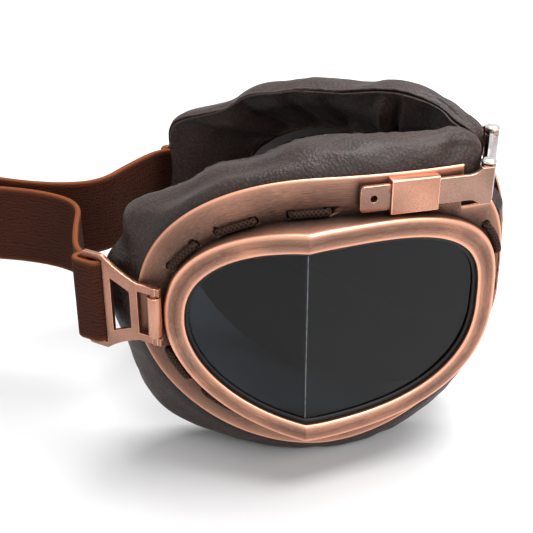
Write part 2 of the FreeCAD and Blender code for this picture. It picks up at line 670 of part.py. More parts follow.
def make_buckle():
    """Stamped plate with claws at the barrel, a tapered window and a slot for the band."""
    thick = S["buckle_thick"]
    claw_low = S["barrel_length"] / 2 + S["claw_gap"]
    claw_high = claw_low + S["claw_height"]
    end = S["buckle_reach"]
    half = S["buckle_half"]
    shoulder = end - S["outer_bar"] - S["band_slot"]
    back = -S["barrel_radius"]
    start = S["claw_slot_end"]
    corner = S["plate_corner"]

    def at(u, z):
        return Vector(u, -thick / 2, z)

    def side(sign):
        """Outline of one side from the claw's inner corner to the far corner."""
        swell = claw_high + WAIST_SWELL_SHARE * (half - claw_high)
        waist = at(WAIST_SHARE * (start + shoulder), sign * swell)
        return [Part.LineSegment(at(start, sign * claw_low), at(back, sign * claw_low)),
                Part.LineSegment(at(back, sign * claw_low), at(back, sign * claw_high)),
                Part.LineSegment(at(back, sign * claw_high), at(start, sign * claw_high)),
                Part.Arc(at(start, sign * claw_high), waist, at(shoulder, sign * half)),
                Part.LineSegment(at(shoulder, sign * half), at(end - corner, sign * half)),
                Part.LineSegment(at(end - corner, sign * half), at(end, sign * (half - corner)))]

    edges = [line.toShape() for sign in (-1, 1) for line in side(sign)]
    edges.append(Part.LineSegment(at(end, half - corner), at(end, corner - half)).toShape())
    edges.append(Part.LineSegment(at(start, claw_low), at(start, -claw_low)).toShape())
    outer = Part.Wire(Part.__sortEdges__(edges))

    def frame(points):
        outline = [at(u, z) for u, z in points]
        return Part.Wire(Part.makePolygon(outline + outline[:1]))

    near = start + S["claw_bar"]
    far = shoulder - S["inner_bar"]
    slot = S["band_width"] / 2 + S["band_gap"]
    taper = frame([(near, -S["window_near"]), (far, -S["window_far"]), (far, S["window_far"]),
                   (near, S["window_near"])])
    opening = frame([(shoulder, -slot), (end - S["outer_bar"], -slot), (end - S["outer_bar"], slot),
                     (shoulder, slot)])
    face = Part.makeFace([outer, taper, opening], "Part::FaceMakerBullseye")
    plate = extrusion("buckle_plate", face, Vector(0, 1, 0), "sizes.buckle_thick")
    stubs = []
    for sign in (-1, 1):
        low = S["barrel_length"] / 2 - S["stub_length"] if sign > 0 else -claw_high
        stubs.append(cylinder(f"buckle_stub_{len(stubs)}", "sizes.stub_radius",
                              "sizes.stub_length + sizes.claw_gap + sizes.claw_height",
                              Placement(Vector(0, 0, low), Rotation())))
    node("right_buckle", fusion("buckle", [plate] + stubs), buckle_place())


# Route of the head band's right half in plan, from the buckle to the plane of symmetry, as
# shares of the band's reach behind the bridge
BAND_ROUTE_SHARES = ((-0.567, -0.109), (-0.587, -0.042), (-0.644, -0.016), (-0.733, -0.013),
                     (-0.807, -0.030), (-0.876, -0.072), (-0.946, -0.077), (-0.990, -0.045),
                     (-1.000, 0.000))
ROUND_SHARE = 0.45


def rounded_route(points):
    """Straight runs and the widest tangent arcs between them: (start, end, centre, turn) of each piece."""
    pieces = []
    start = points[0]
    for before, corner, after in zip(points, points[1:], points[2:]):
        into = (corner - before).normalize()
        out = (after - corner).normalize()
        turn = math.atan2(into.cross(out).z, into.dot(out))
        trim = ROUND_SHARE * min((corner - before).Length, (after - corner).Length)
        radius = trim / math.tan(abs(turn) / 2)
        first = corner - trim * into
        last = corner + trim * out
        side = math.copysign(1.0, turn)
        centre = first + side * radius * Vector(-into.y, into.x, 0)
        pieces.append((start, first, None, 0.0))
        pieces.append((first, last, centre, turn))
        start = last
    pieces.append((start, points[-1], None, 0.0))
    return pieces


def route_edge(pieces, offset):
    """Edges of a rounded route, moved to its left by an offset."""
    edges = []
    for start, end, centre, turn in pieces:
        if centre is None:
            along = (end - start).normalize()
            aside = offset * Vector(-along.y, along.x, 0)
            edges.append(Part.LineSegment(start + aside, end + aside).toShape())
        else:
            share = 1 - math.copysign(offset, turn * offset) / (start - centre).Length
            middle = Rotation(Vector(0, 0, 1), math.degrees(turn) / 2).multVec(start - centre)
            points = [centre + share * arm for arm in (start - centre, middle, end - centre)]
            edges.append(Part.Arc(*points).toShape())
    return edges


def strip_face(points, thick):
    """Plan face of a strip of one thickness along a rounded route."""
    pieces = rounded_route(points)
    edges = route_edge(pieces, thick / 2) + route_edge(pieces, -thick / 2)
    count = len(pieces)
    caps = [(edges[0].Vertexes[0], edges[count].Vertexes[0]),
            (edges[count - 1].Vertexes[-1], edges[-1].Vertexes[-1])]
    for left, right in caps:
        edges.append(Part.LineSegment(left.Point, right.Point).toShape())
    return Part.Face(Part.Wire(Part.__sortEdges__(edges)))


def make_band():
    """One elastic band: looped round each buckle's outer bar, drawn together and round again."""
    thick = S["band_thick"]
    place = buckle_place()
    low = -S["band_width"] / 2
    lift = S["buckle_thick"] / 2 + S["band_gap"] + thick / 2
    far = S["buckle_reach"] + S["band_gap"] + thick / 2 - lift
    near = S["buckle_reach"] - S["outer_bar"] - S["band_slot"] + S["band_gap"] + thick / 2 + lift

    def stadium(grow):
        radius = lift + grow
        ends = [(far, radius), (near, radius), (near, -radius), (far, -radius)]
        a, b, c, d = [Vector(u, v, low) for u, v in ends]
        edges = [Part.LineSegment(a, b), Part.Arc(b, Vector(near - radius, 0, low), c),
                 Part.LineSegment(c, d), Part.Arc(d, Vector(far + radius, 0, low), a)]
        return Part.Wire([edge.toShape() for edge in edges])

    loop = Part.makeFace([stadium(thick / 2), stadium(-thick / 2)], "Part::FaceMakerBullseye")
    loop = extrusion("band_loop", loop, Vector(0, 0, 1), "sizes.band_width")
    loop.Placement = place
    height = place.Base.z + low
    leave = [place.multVec(Vector(u, -lift, low)) for u in (near, far + lift + thick)]
    reach = S["band_reach"]
    route = leave + [Vector(S["bridge_x"] + reach * x, reach * y, height) for x, y in BAND_ROUTE_SHARES]
    run = extrusion("band_run", strip_face(route, thick), Vector(0, 0, 1), "sizes.band_width")
    right = fusion("band_right", [loop, run])
    left = doc.addObject("Part::Mirroring", "band_left")
    left.Source = right
    left.Normal = Vector(0, 1, 0)
    node("head_band", fusion("band", [right, left]))


def make_left():
    """The left eyepiece's pieces, mirrored from the right one's."""
    for label in [label for label in nodes if label.startswith("right_")]:
        obj = doc.addObject("Part::Mirroring", label.replace("right_", "left_") + "_mirror")
        obj.Source = nodes[label]
        obj.Normal = Vector(0, 1, 0)
        node(label.replace("right_", "left_"), obj)


def check_and_write():
    doc.recompute()
    for obj in doc.Objects:
        if "Invalid" in obj.State or "Error" in obj.State:
            raise RuntimeError(f"{obj.Name} failed: {obj.State}")
    os.makedirs("parts", exist_ok=True)
    for label, obj in nodes.items():
        shape = obj.Shape
        if shape.isNull() or not shape.isValid():
            raise RuntimeError(f"{label} has no valid shape")
        print(f"{label}: {len(shape.Solids)} solids, {shape.Volume:.1f} mm3")
        shape.exportStep(f"parts/{label}.step")


make_bezel()
make_lens_stack()
make_lacing()
make_flange()
make_lug()
make_cushion()
make_sleeve()
make_strap()
make_link()
make_pins()
make_buckle()
make_band()
make_left()
check_and_write()
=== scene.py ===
# %% [markdown]
# # Folding goggles with creased smoke lenses
# The goggles stand folded on a pale floor, nose to the right and band to the left. The imported CAD
# model is the fixed frame: every piece below is placed in its millimetres, and all but the band's lengths ride on its
# bodies.

# %% Load the frame
import json
import math

import bmesh
import bpy
import numpy as np
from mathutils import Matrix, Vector


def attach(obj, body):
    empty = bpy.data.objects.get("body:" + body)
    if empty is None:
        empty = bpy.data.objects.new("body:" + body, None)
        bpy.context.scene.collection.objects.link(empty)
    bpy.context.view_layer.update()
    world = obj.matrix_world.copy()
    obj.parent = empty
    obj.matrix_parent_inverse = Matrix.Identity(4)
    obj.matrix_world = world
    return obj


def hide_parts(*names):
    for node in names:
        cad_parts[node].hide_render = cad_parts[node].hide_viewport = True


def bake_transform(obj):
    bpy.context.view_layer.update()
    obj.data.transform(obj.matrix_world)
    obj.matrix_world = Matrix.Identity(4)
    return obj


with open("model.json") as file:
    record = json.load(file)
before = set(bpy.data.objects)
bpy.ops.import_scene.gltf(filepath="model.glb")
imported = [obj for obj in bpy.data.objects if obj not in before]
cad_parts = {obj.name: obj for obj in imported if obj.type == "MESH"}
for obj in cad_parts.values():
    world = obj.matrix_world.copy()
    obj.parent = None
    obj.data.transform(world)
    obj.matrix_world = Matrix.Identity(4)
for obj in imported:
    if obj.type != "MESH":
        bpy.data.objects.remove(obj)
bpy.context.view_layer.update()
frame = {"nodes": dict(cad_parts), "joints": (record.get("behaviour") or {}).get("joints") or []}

scene = bpy.context.scene
MM = 0.001
SIDES = {"right": -1, "left": 1}

# %% [markdown]
# ## The eyepiece's own frame
# Each eyepiece is drawn flat: X along it towards the nose, Y from the front towards the face, Z up
# from the middle of the lens crease. One turn and one shift set it into the folded goggles, and the
# left one is the right one mirrored in the plane between them. Working in this frame keeps every
# formula short, and a single function takes whole arrays of points to their place.

# %% Eyepiece frame
EYE_PLACE = (52.386, -34.0677, 49.0)
EYE_SPLAY = math.radians(20.5)
PUPIL = (6.5, 2.2)
BEND = 165.0
PLATE = 1.0
PROW = 10.0
NOSE_RAKE = math.tan(math.radians(14.0))
TEMPLE_RAKE = math.tan(math.radians(19.5))
RIM_DEPTH = 24.0
RIM_TILT = math.tan(math.radians(9.7))

# Reaches from the pupil point to the nose, temple, top and base, and squareness of the quarters
LENS = np.array((42.2, 37.7, 24.2, 29.4))
LENS_SQUARES = np.array((3.2, 2.3, 1.9, 2.4))
FLANGE = np.array((50.0, 50.0, 40.0, 43.0))
FLANGE_SQUARES = np.array((3.4, 2.3, 1.85, 1.8))
CUSHION_SQUARES = np.array((5.0, 2.3, 2.1, 2.1))
SWELL = np.array((1.4, 7.5, 6.6, 8.7))

print("lens in mm:", LENS[:2].sum(), "by", LENS[2:].sum())

# %% Frame formulas
def to_goggles(points, side):
    """Turns points by the splay about Z, moves them to the eyepiece's place, and mirrors Y for the left."""
    x, y, z = np.moveaxis(np.asarray(points, float), -1, 0)
    c, s = math.cos(EYE_SPLAY), math.sin(EYE_SPLAY)
    placed = np.stack((c * x - s * y + EYE_PLACE[0], s * x + c * y + EYE_PLACE[1], z + EYE_PLACE[2]), -1)
    placed[..., 1] *= -SIDES[side]
    return placed * MM


def unit(vectors):
    """Vectors of length one."""
    return vectors / np.linalg.norm(vectors, axis=-1, keepdims=True)


def full_turn(count):
    """Even turns once round."""
    return np.linspace(0, 2 * math.pi, count, endpoint=False)


def run_lengths(points):
    """Distance along a run of points to each of them."""
    return np.concatenate(((0.0,), np.cumsum(np.linalg.norm(np.diff(points, axis=0), axis=-1))))


def oval(reach, squares, turn):
    """X and Z of a four-quarter superellipse: each is its reach times a power of the turn's cosine or sine."""
    quarter = np.floor(turn / (math.pi / 2)).astype(int) % 4
    power = 2 / np.asarray(squares)[quarter]
    c, s = np.cos(turn), np.sin(turn)
    x = np.where(c > 0, reach[0], reach[1]) * np.sign(c) * np.abs(c) ** power
    z = np.where(s > 0, reach[2], reach[3]) * np.sign(s) * np.abs(s) ** power
    return PUPIL[0] + x, PUPIL[1] + z


def flange_depth(x, below=0.0):
    """Depth of the flange's bent front: a circle of the bend's radius, or one below it."""
    return BEND - np.sqrt((BEND - below) ** 2 - (x - PUPIL[0]) ** 2)


def prow_depth(x):
    """Depth of the lens's two raked planes: the crease in front, and a slope to each side of it."""
    return -PROW + np.abs(x) * np.where(x > 0, NOSE_RAKE, TEMPLE_RAKE)


def rim_depth(x):
    """Depth of the tilted plane that the cushion's face side touches."""
    return RIM_DEPTH - x * RIM_TILT


# %% [markdown]
# ## From arrays to meshes
# Every new piece is a grid of points: one index runs around the piece or along it, the other across
# its section. One helper turns such a grid into quads, with a UV map in real millimetres so that a
# weave or a brush mark keeps its scale, and with named masks such as worn edges for the materials.

# %% Grid helper
def grid_object(name, points, around=True, section=True, lengths=(1.0, 1.0), masks=None):
    """Mesh of quads over points[i, j]; around and section close the grid in i and j."""
    rows, columns = points.shape[:2]
    i = np.arange(rows if around else rows - 1)[:, None]
    j = np.arange(columns if section else columns - 1)[None, :]
    corners = [(i + a, j + b) for a, b in ((0, 0), (1, 0), (1, 1), (0, 1))]
    faces = np.stack([(a % rows) * columns + b % columns for a, b in corners], -1).reshape(-1, 4)
    mesh = bpy.data.meshes.new(name)
    mesh.from_pydata(points.reshape(-1, 3).tolist(), [], faces.tolist())
    u = np.stack([np.broadcast_to(a, (i.size, j.size)) for a, b in corners], -1) / i.size * lengths[0]
    v = np.stack([np.broadcast_to(b, (i.size, j.size)) for a, b in corners], -1) / j.size * lengths[1]
    layer = mesh.uv_layers.new(name="UVMap")
    layer.data.foreach_set("uv", np.stack((u, v), -1).astype(np.float32).ravel())
    for mask, values in (masks or {}).items():
        attribute = mesh.attributes.new(mask, "FLOAT", "POINT")
        attribute.data.foreach_set("value", np.broadcast_to(values, (rows, columns)).astype(np.float32).ravel())
    mesh.polygons.foreach_set("use_smooth", np.ones(len(mesh.polygons), bool))
    face_outwards(mesh)
    return place_object(name, mesh)


def place_object(name, data):
    """New object in the scene."""
    obj = bpy.data.objects.new(name, data)
    scene.collection.objects.link(obj)
    return obj


def face_outwards(mesh):
    """Turns the faces of closed shells so that they all point outwards."""
    work = bmesh.new()
    work.from_mesh(mesh)
    bmesh.ops.recalc_face_normals(work, faces=work.faces)
    work.to_mesh(mesh)
    work.free()


def close_ends(points):
    """Adds a row close to each end, which keeps the end's edge crisp, and then one at the middle of its section."""
    middles = [np.broadcast_to(points[k].mean(0), points[k].shape)[None] for k in (0, -1)]
    inside = [0.98 * points[k] + 0.02 * points[next_in] for k, next_in in ((0, 1), (-1, -2))]
    return np.concatenate((middles[0], points[:1], inside[0][None], points[1:-1], inside[1][None], points[-1:],
                           middles[1]))


def finish_piece(obj, body, slot, material, *nodes):
    """Sets a piece's material and the body it rides on, and hides the CAD nodes that it stands for; slot is not used.
    """
    obj.data.materials.append(material)
    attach(obj, body)
    if nodes:
        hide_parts(*nodes)
    return obj


# %% [markdown]
# ## Shader groups
# Two effects are shared. Worn plating gives the antique copper: bright salmon on edges, brown patina
# on flats and painted near-black shade in recesses, broken up by fine brush marks. Grain gives leather
# and rubber their pebbled skin, with painted shade in seams. A group puts out only colours and values;
# the shader stays in each material.

# %% Node helpers
def new_group(name, inputs, outputs):
    """Shader node group with named sockets; inputs are (name, kind, value)."""
    group = bpy.data.node_groups.new(name, "ShaderNodeTree")
    for label, kind, value in inputs:
        socket = group.interface.new_socket(label, in_out="INPUT", socket_type="NodeSocket" + kind)
        if value is not None:
            socket.default_value = value
    for label, kind in outputs:
        group.interface.new_socket(label, in_out="OUTPUT", socket_type="NodeSocket" + kind)
    return group, group.nodes.new("NodeGroupInput"), group.nodes.new("NodeGroupOutput")


def set_input(tree, socket, value):
    """Links an input to another node's output, or sets it to a plain value."""
    if isinstance(value, bpy.types.NodeSocket):
        tree.links.new(value, socket)
    else:
        socket.default_value = value


def add(tree, kind, settings=None, **inputs):
    """Node of a kind; settings are its properties, and an input is named or, as _0, given by its number."""
    node = tree.nodes.new("ShaderNode" + kind)
    for name, value in (settings or {}).items():
        setattr(node, name, value)
    for name, value in inputs.items():
        set_input(tree, node.inputs[int(name[1:]) if name[1:].isdigit() else name.replace("_", " ")], value)
    return node


def noise(tree, vector, scale, detail=3.0, roughness=0.55):
    """Value of a noise texture."""
    return add(tree, "TexNoise", Vector=vector, Scale=scale, Detail=detail, Roughness=roughness).outputs[0]


def math_node(tree, operation, *values):
    """Result of one Math node."""
    return add(tree, "Math", {"operation": operation}, **{f"_{k}": v for k, v in enumerate(values)}).outputs[0]


def times(tree, value, factor):
    """Value times a factor."""
    return math_node(tree, "MULTIPLY", value, factor)


def plus(tree, first, second, weight=1.0, first_weight=1.0):
    """Sum of two values, each times its weight."""
    if first_weight != 1.0:
        first = times(tree, first, first_weight)
    return math_node(tree, "ADD", first, second if weight == 1.0 else times(tree, second, weight))


def ramp(tree, value, low, high, to_low=0.0, to_high=1.0):
    """Value carried smoothly from one span to another."""
    return add(tree, "MapRange", {"interpolation_type": "SMOOTHSTEP"}, Value=value, From_Min=low, From_Max=high,
               To_Min=to_low, To_Max=to_high).outputs[0]


def mix(tree, share, first, second):
    """Colour between two colours."""
    return add(tree, "Mix", {"data_type": "RGBA"}, Factor=share, _6=first, _7=second).outputs[2]


def mask(tree, name):
    """Value of a piece's own mask."""
    return add(tree, "Attribute", {"attribute_name": name}).outputs["Fac"]


# %% Colours and materials
def linear(red, green, blue):
    """Linear colour of an 8-bit display colour."""
    share = np.array((red, green, blue)) / 255
    value = np.where(share <= 0.04045, share / 12.92, ((share + 0.055) / 1.055) ** 2.4)
    return (*(float(v) for v in value), 1.0)


def new_material(name, **constants):
    """Material with a Principled shader whose plain sockets are set directly."""
    material = bpy.data.materials.new(name)
    material.use_nodes = True
    shader = material.node_tree.nodes["Principled BSDF"]
    for label, value in constants.items():
        shader.inputs[label.replace("_", " ")].default_value = value
    return material, material.node_tree, shader


def link_look(tree, shader, colour, roughness, height=None, depth=0.1, strength=1.0):
    """Links a varying colour and roughness to a shader, and a height through a Bump node."""
    tree.links.new(colour, shader.inputs["Base Color"])
    tree.links.new(roughness, shader.inputs["Roughness"])
    if height is not None:
        bump = add(tree, "Bump", Height=height, Distance=depth * MM, Strength=strength)
        tree.links.new(bump.outputs[0], shader.inputs["Normal"])


LOOK = [("Color", "Color"), ("Roughness", "Float"), ("Height", "Float")]


def give(group, result, *values):
    """Links a group's colour, roughness and height to its outputs."""
    for value, socket in zip(values, result.inputs):
        group.links.new(value, socket)


def use_group(tree, group, **inputs):
    """A group placed in a material with its own values; puts out its colour, roughness and height."""
    node = tree.nodes.new("ShaderNodeGroup")
    node.node_tree = group
    for name, value in inputs.items():
        set_input(tree, node.inputs[name], value)
    return node.outputs[:3]


# %% Worn plating and painted shade group
# The second colour is a near-black painted shade for recesses.
GREY_PATINA, PAINTED_SHADE_BLACK = linear(98, 97, 90), linear(34, 26, 23)


def build_plating_wear_and_shade():
    """Brush marks are noise drawn out along one axis; patina is broad noise, less on edges; painted near-black shade
    darkens recesses.
    """
    group, given, result = new_group(
        "plating_wear_and_shade",
        [("Vector", "Vector", None), ("Bright", "Color", linear(246, 180, 150)),
         ("Plain", "Color", linear(186, 131, 107)), ("Patina", "Color", linear(84, 68, 62)),
         ("Edge", "Float", 0.0), ("Recess", "Float", 0.0), ("Tarnish", "Float", 0.5)], LOOK)
    vector, bright, plain, patina, edge, painted_shade, tarnish = given.outputs[:7]
    drawn = add(group, "Mapping", Vector=vector, Scale=(0.05, 2.2, 2.2)).outputs[0]
    brush = noise(group, drawn, 2.6, 5.0, 0.7)
    fine = noise(group, drawn, 9.0, 3.0, 0.6)
    broad = noise(group, vector, 0.045, 2.0, 0.5)
    speck = noise(group, vector, 0.9, 4.0, 0.7)
    cloud = plus(group, broad, brush, 0.4, 0.75)
    dulled = ramp(group, plus(group, cloud, math_node(group, "SUBTRACT", tarnish, 0.5)), 0.44, 0.72)
    grey = ramp(group, noise(group, vector, 0.04, 2.0, 0.5), 0.5, 0.7, 0.0, 0.6)
    colour = mix(group, dulled, plain, mix(group, grey, patina, GREY_PATINA))
    colour = mix(group, ramp(group, brush, 0.46, 0.7, 0.0, 0.7), colour, patina)
    colour = mix(group, times(group, edge, ramp(group, speck, 0.25, 0.5, 0.55, 1.0)), colour, bright)
    colour = mix(group, ramp(group, fine, 0.4, 0.72, 0.0, 0.36), colour, bright)
    # Painted shade: near-black is mixed in where the mask marks recesses, which are also a little rougher.
    shade_share = times(group, painted_shade, ramp(group, speck, 0.2, 0.6, 0.75, 1.0))
    rough = plus(group, ramp(group, brush, 0.3, 0.7, 0.27, 0.4), dulled, 0.1)
    give(group, result, mix(group, shade_share, colour, PAINTED_SHADE_BLACK), plus(group, rough, shade_share, 0.25),
         plus(group, brush, fine, 0.5))
    return group


PLATING_WEAR_AND_SHADE = build_plating_wear_and_shade()
print("inputs of the plating:", len(PLATING_WEAR_AND_SHADE.interface.items_tree) - len(LOOK))

# %% Grain and painted shade group
# Near-black painted shade for seams and hems.
PAINTED_CREVICE_SHADE = linear(16, 12, 11)


def build_grain_and_shade():
    """Pebbles are the smooth distance to the nearest of scattered points; broad noise varies size and gloss; a mask
    mixes in painted shade.
    """
    group, given, result = new_group(
        "grain_and_shade",
        [("Vector", "Vector", None), ("Scale", "Float", 1.1), ("Light", "Color", linear(74, 61, 57)),
         ("Dark", "Color", linear(42, 32, 29)), ("Recess", "Float", 0.0)], LOOK)
    vector, scale, light, dark, painted_shade = given.outputs[:5]
    warp = add(group, "TexNoise", Vector=vector, Scale=0.7, Detail=2.0).outputs[1]
    warped = add(group, "VectorMath", {"operation": "ADD"}, _0=vector, _1=warp).outputs[0]
    cells = add(group, "TexVoronoi", {"feature": "SMOOTH_F1"}, Vector=warped, Scale=scale, Smoothness=0.35)
    pores = noise(group, vector, 3.2, 3.0, 0.6)
    broad = noise(group, vector, 0.06, 3.0, 0.55)
    pebble = ramp(group, cells.outputs["Distance"], 0.1, 0.75, 1.0, 0.0)
    shade = plus(group, pebble, broad, 0.6, 0.45)
    # Painted shade: the mask mixes the pebbled colour towards near-black.
    colour = mix(group, painted_shade, mix(group, ramp(group, shade, 0.2, 0.85), dark, light), PAINTED_CREVICE_SHADE)
    gloss = plus(group, ramp(group, broad, 0.3, 0.7, 0.4, 0.5), pores, 0.12)
    give(group, result, colour, gloss, plus(group, pebble, pores, 0.35))
    return group


GRAIN_AND_SHADE = build_grain_and_shade()
print("inputs of the grain:", len(GRAIN_AND_SHADE.interface.items_tree) - len(LOOK))

# %% [markdown]
# ## Materials
# Textures read millimetres: object coordinates are scaled up by a thousand, so that a noise of scale
# one has features a millimetre across. Pieces with a UV map use it where marks follow the surface.

# %% Copper and leather
def millimetres(tree, source="Object"):
    """Object or UV coordinates in millimetres."""
    scale = 1 / MM if source == "Object" else 1.0
    return add(tree, "Mapping", Vector=add(tree, "TexCoord").outputs[source], Scale=(scale,) * 3).outputs[0]


def copper(name, plain, tarnish, edge=None):
    """Antique copper; edge is a plain share of wear where the piece has no masks and no UV map of its own."""
    material, tree, shader = new_material(name, Metallic=1.0)
    if edge is None:
        # The second mask marks where shade is painted into recesses.
        own = {"Vector": millimetres(tree, "UV"), "Edge": mask(tree, "edge"), "Recess": mask(tree, "painted_shade")}
    else:
        own = {"Vector": millimetres(tree), "Edge": edge}
    link_look(tree, shader, *use_group(tree, PLATING_WEAR_AND_SHADE, Plain=plain, Tarnish=tarnish, **own), 0.02, 0.35)
    return material


def grained(name, light, dark, scale, depth, **constants):
    """Leather or rubber skin."""
    material, tree, shader = new_material(name, **constants)
    # The mask paints shade into seams and hems.
    look = use_group(tree, GRAIN_AND_SHADE, Vector=millimetres(tree), Scale=scale, Light=light, Dark=dark,
                     Recess=mask(tree, "painted_shade"))
    link_look(tree, shader, *look, depth, 0.6)
    return material


# %% Glass and steel
def smoke_glass():
    """Smoke lens: clear glass with a dark tint, and faint smears in its roughness."""
    material, tree, shader = new_material("smoked_pane", IOR=1.3, Transmission_Weight=1.0)
    smear = noise(tree, millimetres(tree), 0.05, 4.0, 0.6)
    tint = mix(tree, ramp(tree, smear, 0.35, 0.7), linear(30, 36, 42), linear(37, 44, 51))
    link_look(tree, shader, tint, ramp(tree, smear, 0.3, 0.75, 0.0, 0.02))
    return material


def steel(name, colour, rough):
    """Drawn steel: brush noise along X varies its colour and roughness."""
    material, tree, shader = new_material(name, Metallic=1.0)
    drawn = add(tree, "Mapping", Vector=millimetres(tree), Scale=(0.15, 0.15, 2.5)).outputs[0]
    brush = noise(tree, drawn, 3.0, 4.0, 0.65)
    shade = mix(tree, ramp(tree, brush, 0.3, 0.7), tuple(0.75 * c for c in colour[:3]) + (1.0,), colour)
    link_look(tree, shader, shade, ramp(tree, brush, 0.3, 0.7, rough, rough + 0.12), brush, 0.01, 0.3)
    return material


# %% Woven elastic and lace
def elastic():
    """Woven elastic: ribs along the band, fine picks across it, and pale cut edges; its UV is in millimetres."""
    material, tree, shader = new_material("woven_elastic", Specular_IOR_Level=0.12)
    vector = millimetres(tree, "UV")
    split = add(tree, "SeparateXYZ", Vector=vector)
    across = plus(tree, split.outputs[1], noise(tree, vector, 0.42, 3.0), 2.6)
    rib, pick = (math_node(tree, "ABSOLUTE", math_node(tree, "SINE", times(tree, value, pace)))
                 for value, pace in ((across, 3.4), (split.outputs[0], 6.5)))
    fuzz = noise(tree, vector, 2.4, 3.0, 0.7)
    height = plus(tree, rib, pick, 0.45, 0.8)
    tone = plus(tree, height, fuzz, 0.5, 0.45)
    body = mix(tree, ramp(tree, tone, 0.25, 0.85), linear(34, 14, 7), linear(70, 36, 23))
    shade = mix(tree, mask(tree, "edge"), body, linear(128, 70, 42))
    link_look(tree, shader, shade, ramp(tree, fuzz, 0.3, 0.7, 0.75, 0.92), height, 0.16, 0.8)
    return material


def braid():
    """Braided lace: two sets of slanting ridges, the higher of which shows; its UV is in millimetres."""
    material, tree, shader = new_material("braided_lace", Specular_IOR_Level=0.2)
    split = add(tree, "SeparateXYZ", Vector=millimetres(tree, "UV"))
    along = times(tree, split.outputs[0], 7.0)
    around = times(tree, split.outputs[1], 4.2)
    one, two = (math_node(tree, "SINE", math_node(tree, way, along, around)) for way in ("ADD", "SUBTRACT"))
    height = math_node(tree, "MAXIMUM", one, two)
    fuzz = noise(tree, millimetres(tree), 4.0, 3.0, 0.7)
    tone = plus(tree, height, fuzz, 0.5, 0.6)
    shade = mix(tree, ramp(tree, tone, 0.1, 0.95), linear(20, 13, 9), linear(62, 40, 29))
    link_look(tree, shader, shade, ramp(tree, fuzz, 0.3, 0.7, 0.7, 0.88), height, 0.14, 0.8)
    return material


# %% Finishes
COPPER_RIM = copper("copper_band", linear(186, 131, 107), 0.6)
COPPER_FLANGE = copper("copper_flange", linear(146, 106, 89), 0.58)
COPPER_FLAT = copper("copper_flat", linear(184, 134, 113), 0.38, edge=0.1)
COPPER_BUCKLE = copper("copper_buckle", linear(148, 106, 91), 0.5, edge=0.08)
COPPER_STRAP = copper("copper_strap", linear(152, 125, 114), 0.42, edge=0.05)
COPPER_EDGE = copper("copper_edge", linear(186, 131, 107), 0.2, edge=0.95)
LEATHER = grained("soft_leather", linear(56, 37, 31), linear(26, 16, 12), 1.25, 0.14, IOR=1.5,
                  Specular_IOR_Level=0.34)
RUBBER = grained("black_rubber", linear(30, 28, 28), linear(16, 15, 15), 2.5, 0.03, Specular_IOR_Level=0.3)
SMOKE = smoke_glass()
LINK_STEEL = steel("drawn_steel", linear(186, 180, 178), 0.28)
PIN_STEEL = steel("polished_steel", linear(226, 222, 218), 0.14)
DARK_STEEL = steel("blackened_steel", linear(96, 92, 90), 0.4)
ELASTIC = elastic()
BRAID = braid()
print("materials:", len(bpy.data.materials))

# %% [markdown]
# ## Bezel and gasket
# The bezel is a stamped rim that stands off the bent flange like a ship's prow: its front lies in two
# raked planes that meet at the crease. It could be cut from a block with booleans, but a profile
# carried round the lens outline gives clean rounded corners, and the mask of worn edges comes free.
# The columns of the grid meet the crease exactly, with one close on each side to round it a little.

# %% Crease columns
SIDE_SHARES = np.concatenate(((0.0, 0.004), np.linspace(0.014, 0.986, 150), (0.996,)))


def creased_turns(reach, squares):
    """Turns of one loop, from the crease at the base over the nose to the top, and on over the temple."""
    lean = [math.acos((PUPIL[0] / reach[1]) ** (squares[k] / 2)) for k in (1, 2)]
    top, base = math.pi - lean[0], math.pi + lean[1]
    nose_side = base - 2 * math.pi + SIDE_SHARES * (top - base + 2 * math.pi)
    return np.concatenate((nose_side, top + SIDE_SHARES * (base - top)))


def creased_rings(profile):
    """Points of a profile carried round the lens: margin from its edge, depth behind the prow, share to the flange."""
    rings = []
    for margin, behind, share in profile:
        reach = LENS + margin
        x, z = oval(reach, LENS_SQUARES, creased_turns(reach, LENS_SQUARES))
        front = prow_depth(x) + behind
        rings.append(np.stack((x, front + share * (flange_depth(x) - front), z), -1))
    return np.stack(rings, 1)


# %% Bezel
# margin, depth behind the prow's planes, share of the way to the flange, worn edge, painted shade
BEZEL_PROFILE = np.array((
    (0.00, 1.40, 0.0, 0.0, 0.8), (0.00, 0.60, 0.0, 0.5, 0.3), (0.06, 0.28, 0.0, 1.0, 0.0),
    (0.24, 0.08, 0.0, 1.0, 0.0), (0.55, 0.00, 0.0, 0.7, 0.0), (1.10, -0.06, 0.0, 0.25, 0.06),
    (2.65, -0.14, 0.0, 0.05, 0.26), (4.10, -0.06, 0.0, 0.2, 0.14), (4.65, 0.00, 0.0, 0.7, 0.0),
    (5.00, 0.08, 0.0, 1.0, 0.0), (5.20, 0.28, 0.0, 1.0, 0.0), (5.30, 0.62, 0.0, 0.8, 0.0),
    (5.30, 0.62, 0.12, 0.35, 0.1), (5.30, 0.62, 0.5, 0.1, 0.6), (5.30, 0.62, 0.9, 0.0, 0.95),
    (5.30, 0.62, 0.995, 0.0, 1.0), (3.40, 0.62, 0.995, 0.0, 1.0), (3.40, 1.40, 0.0, 0.0, 1.0)))
RIM_LENGTH, RIM_GIRTH, GASKET_GIRTH = 255.0, 22.0, 10.0


# margin, depth behind the prow's planes, share of the way to the flange
GASKET_PROFILE = np.array(((3.1, 1.45, 0.0), (0.0, 1.45, 0.0), (-0.85, 1.5, 0.0), (-1.1, 1.62, 0.0),
                           (-1.2, 1.85, 0.0), (-1.2, 2.19, 0.0), (3.1, 2.19, 0.0)))


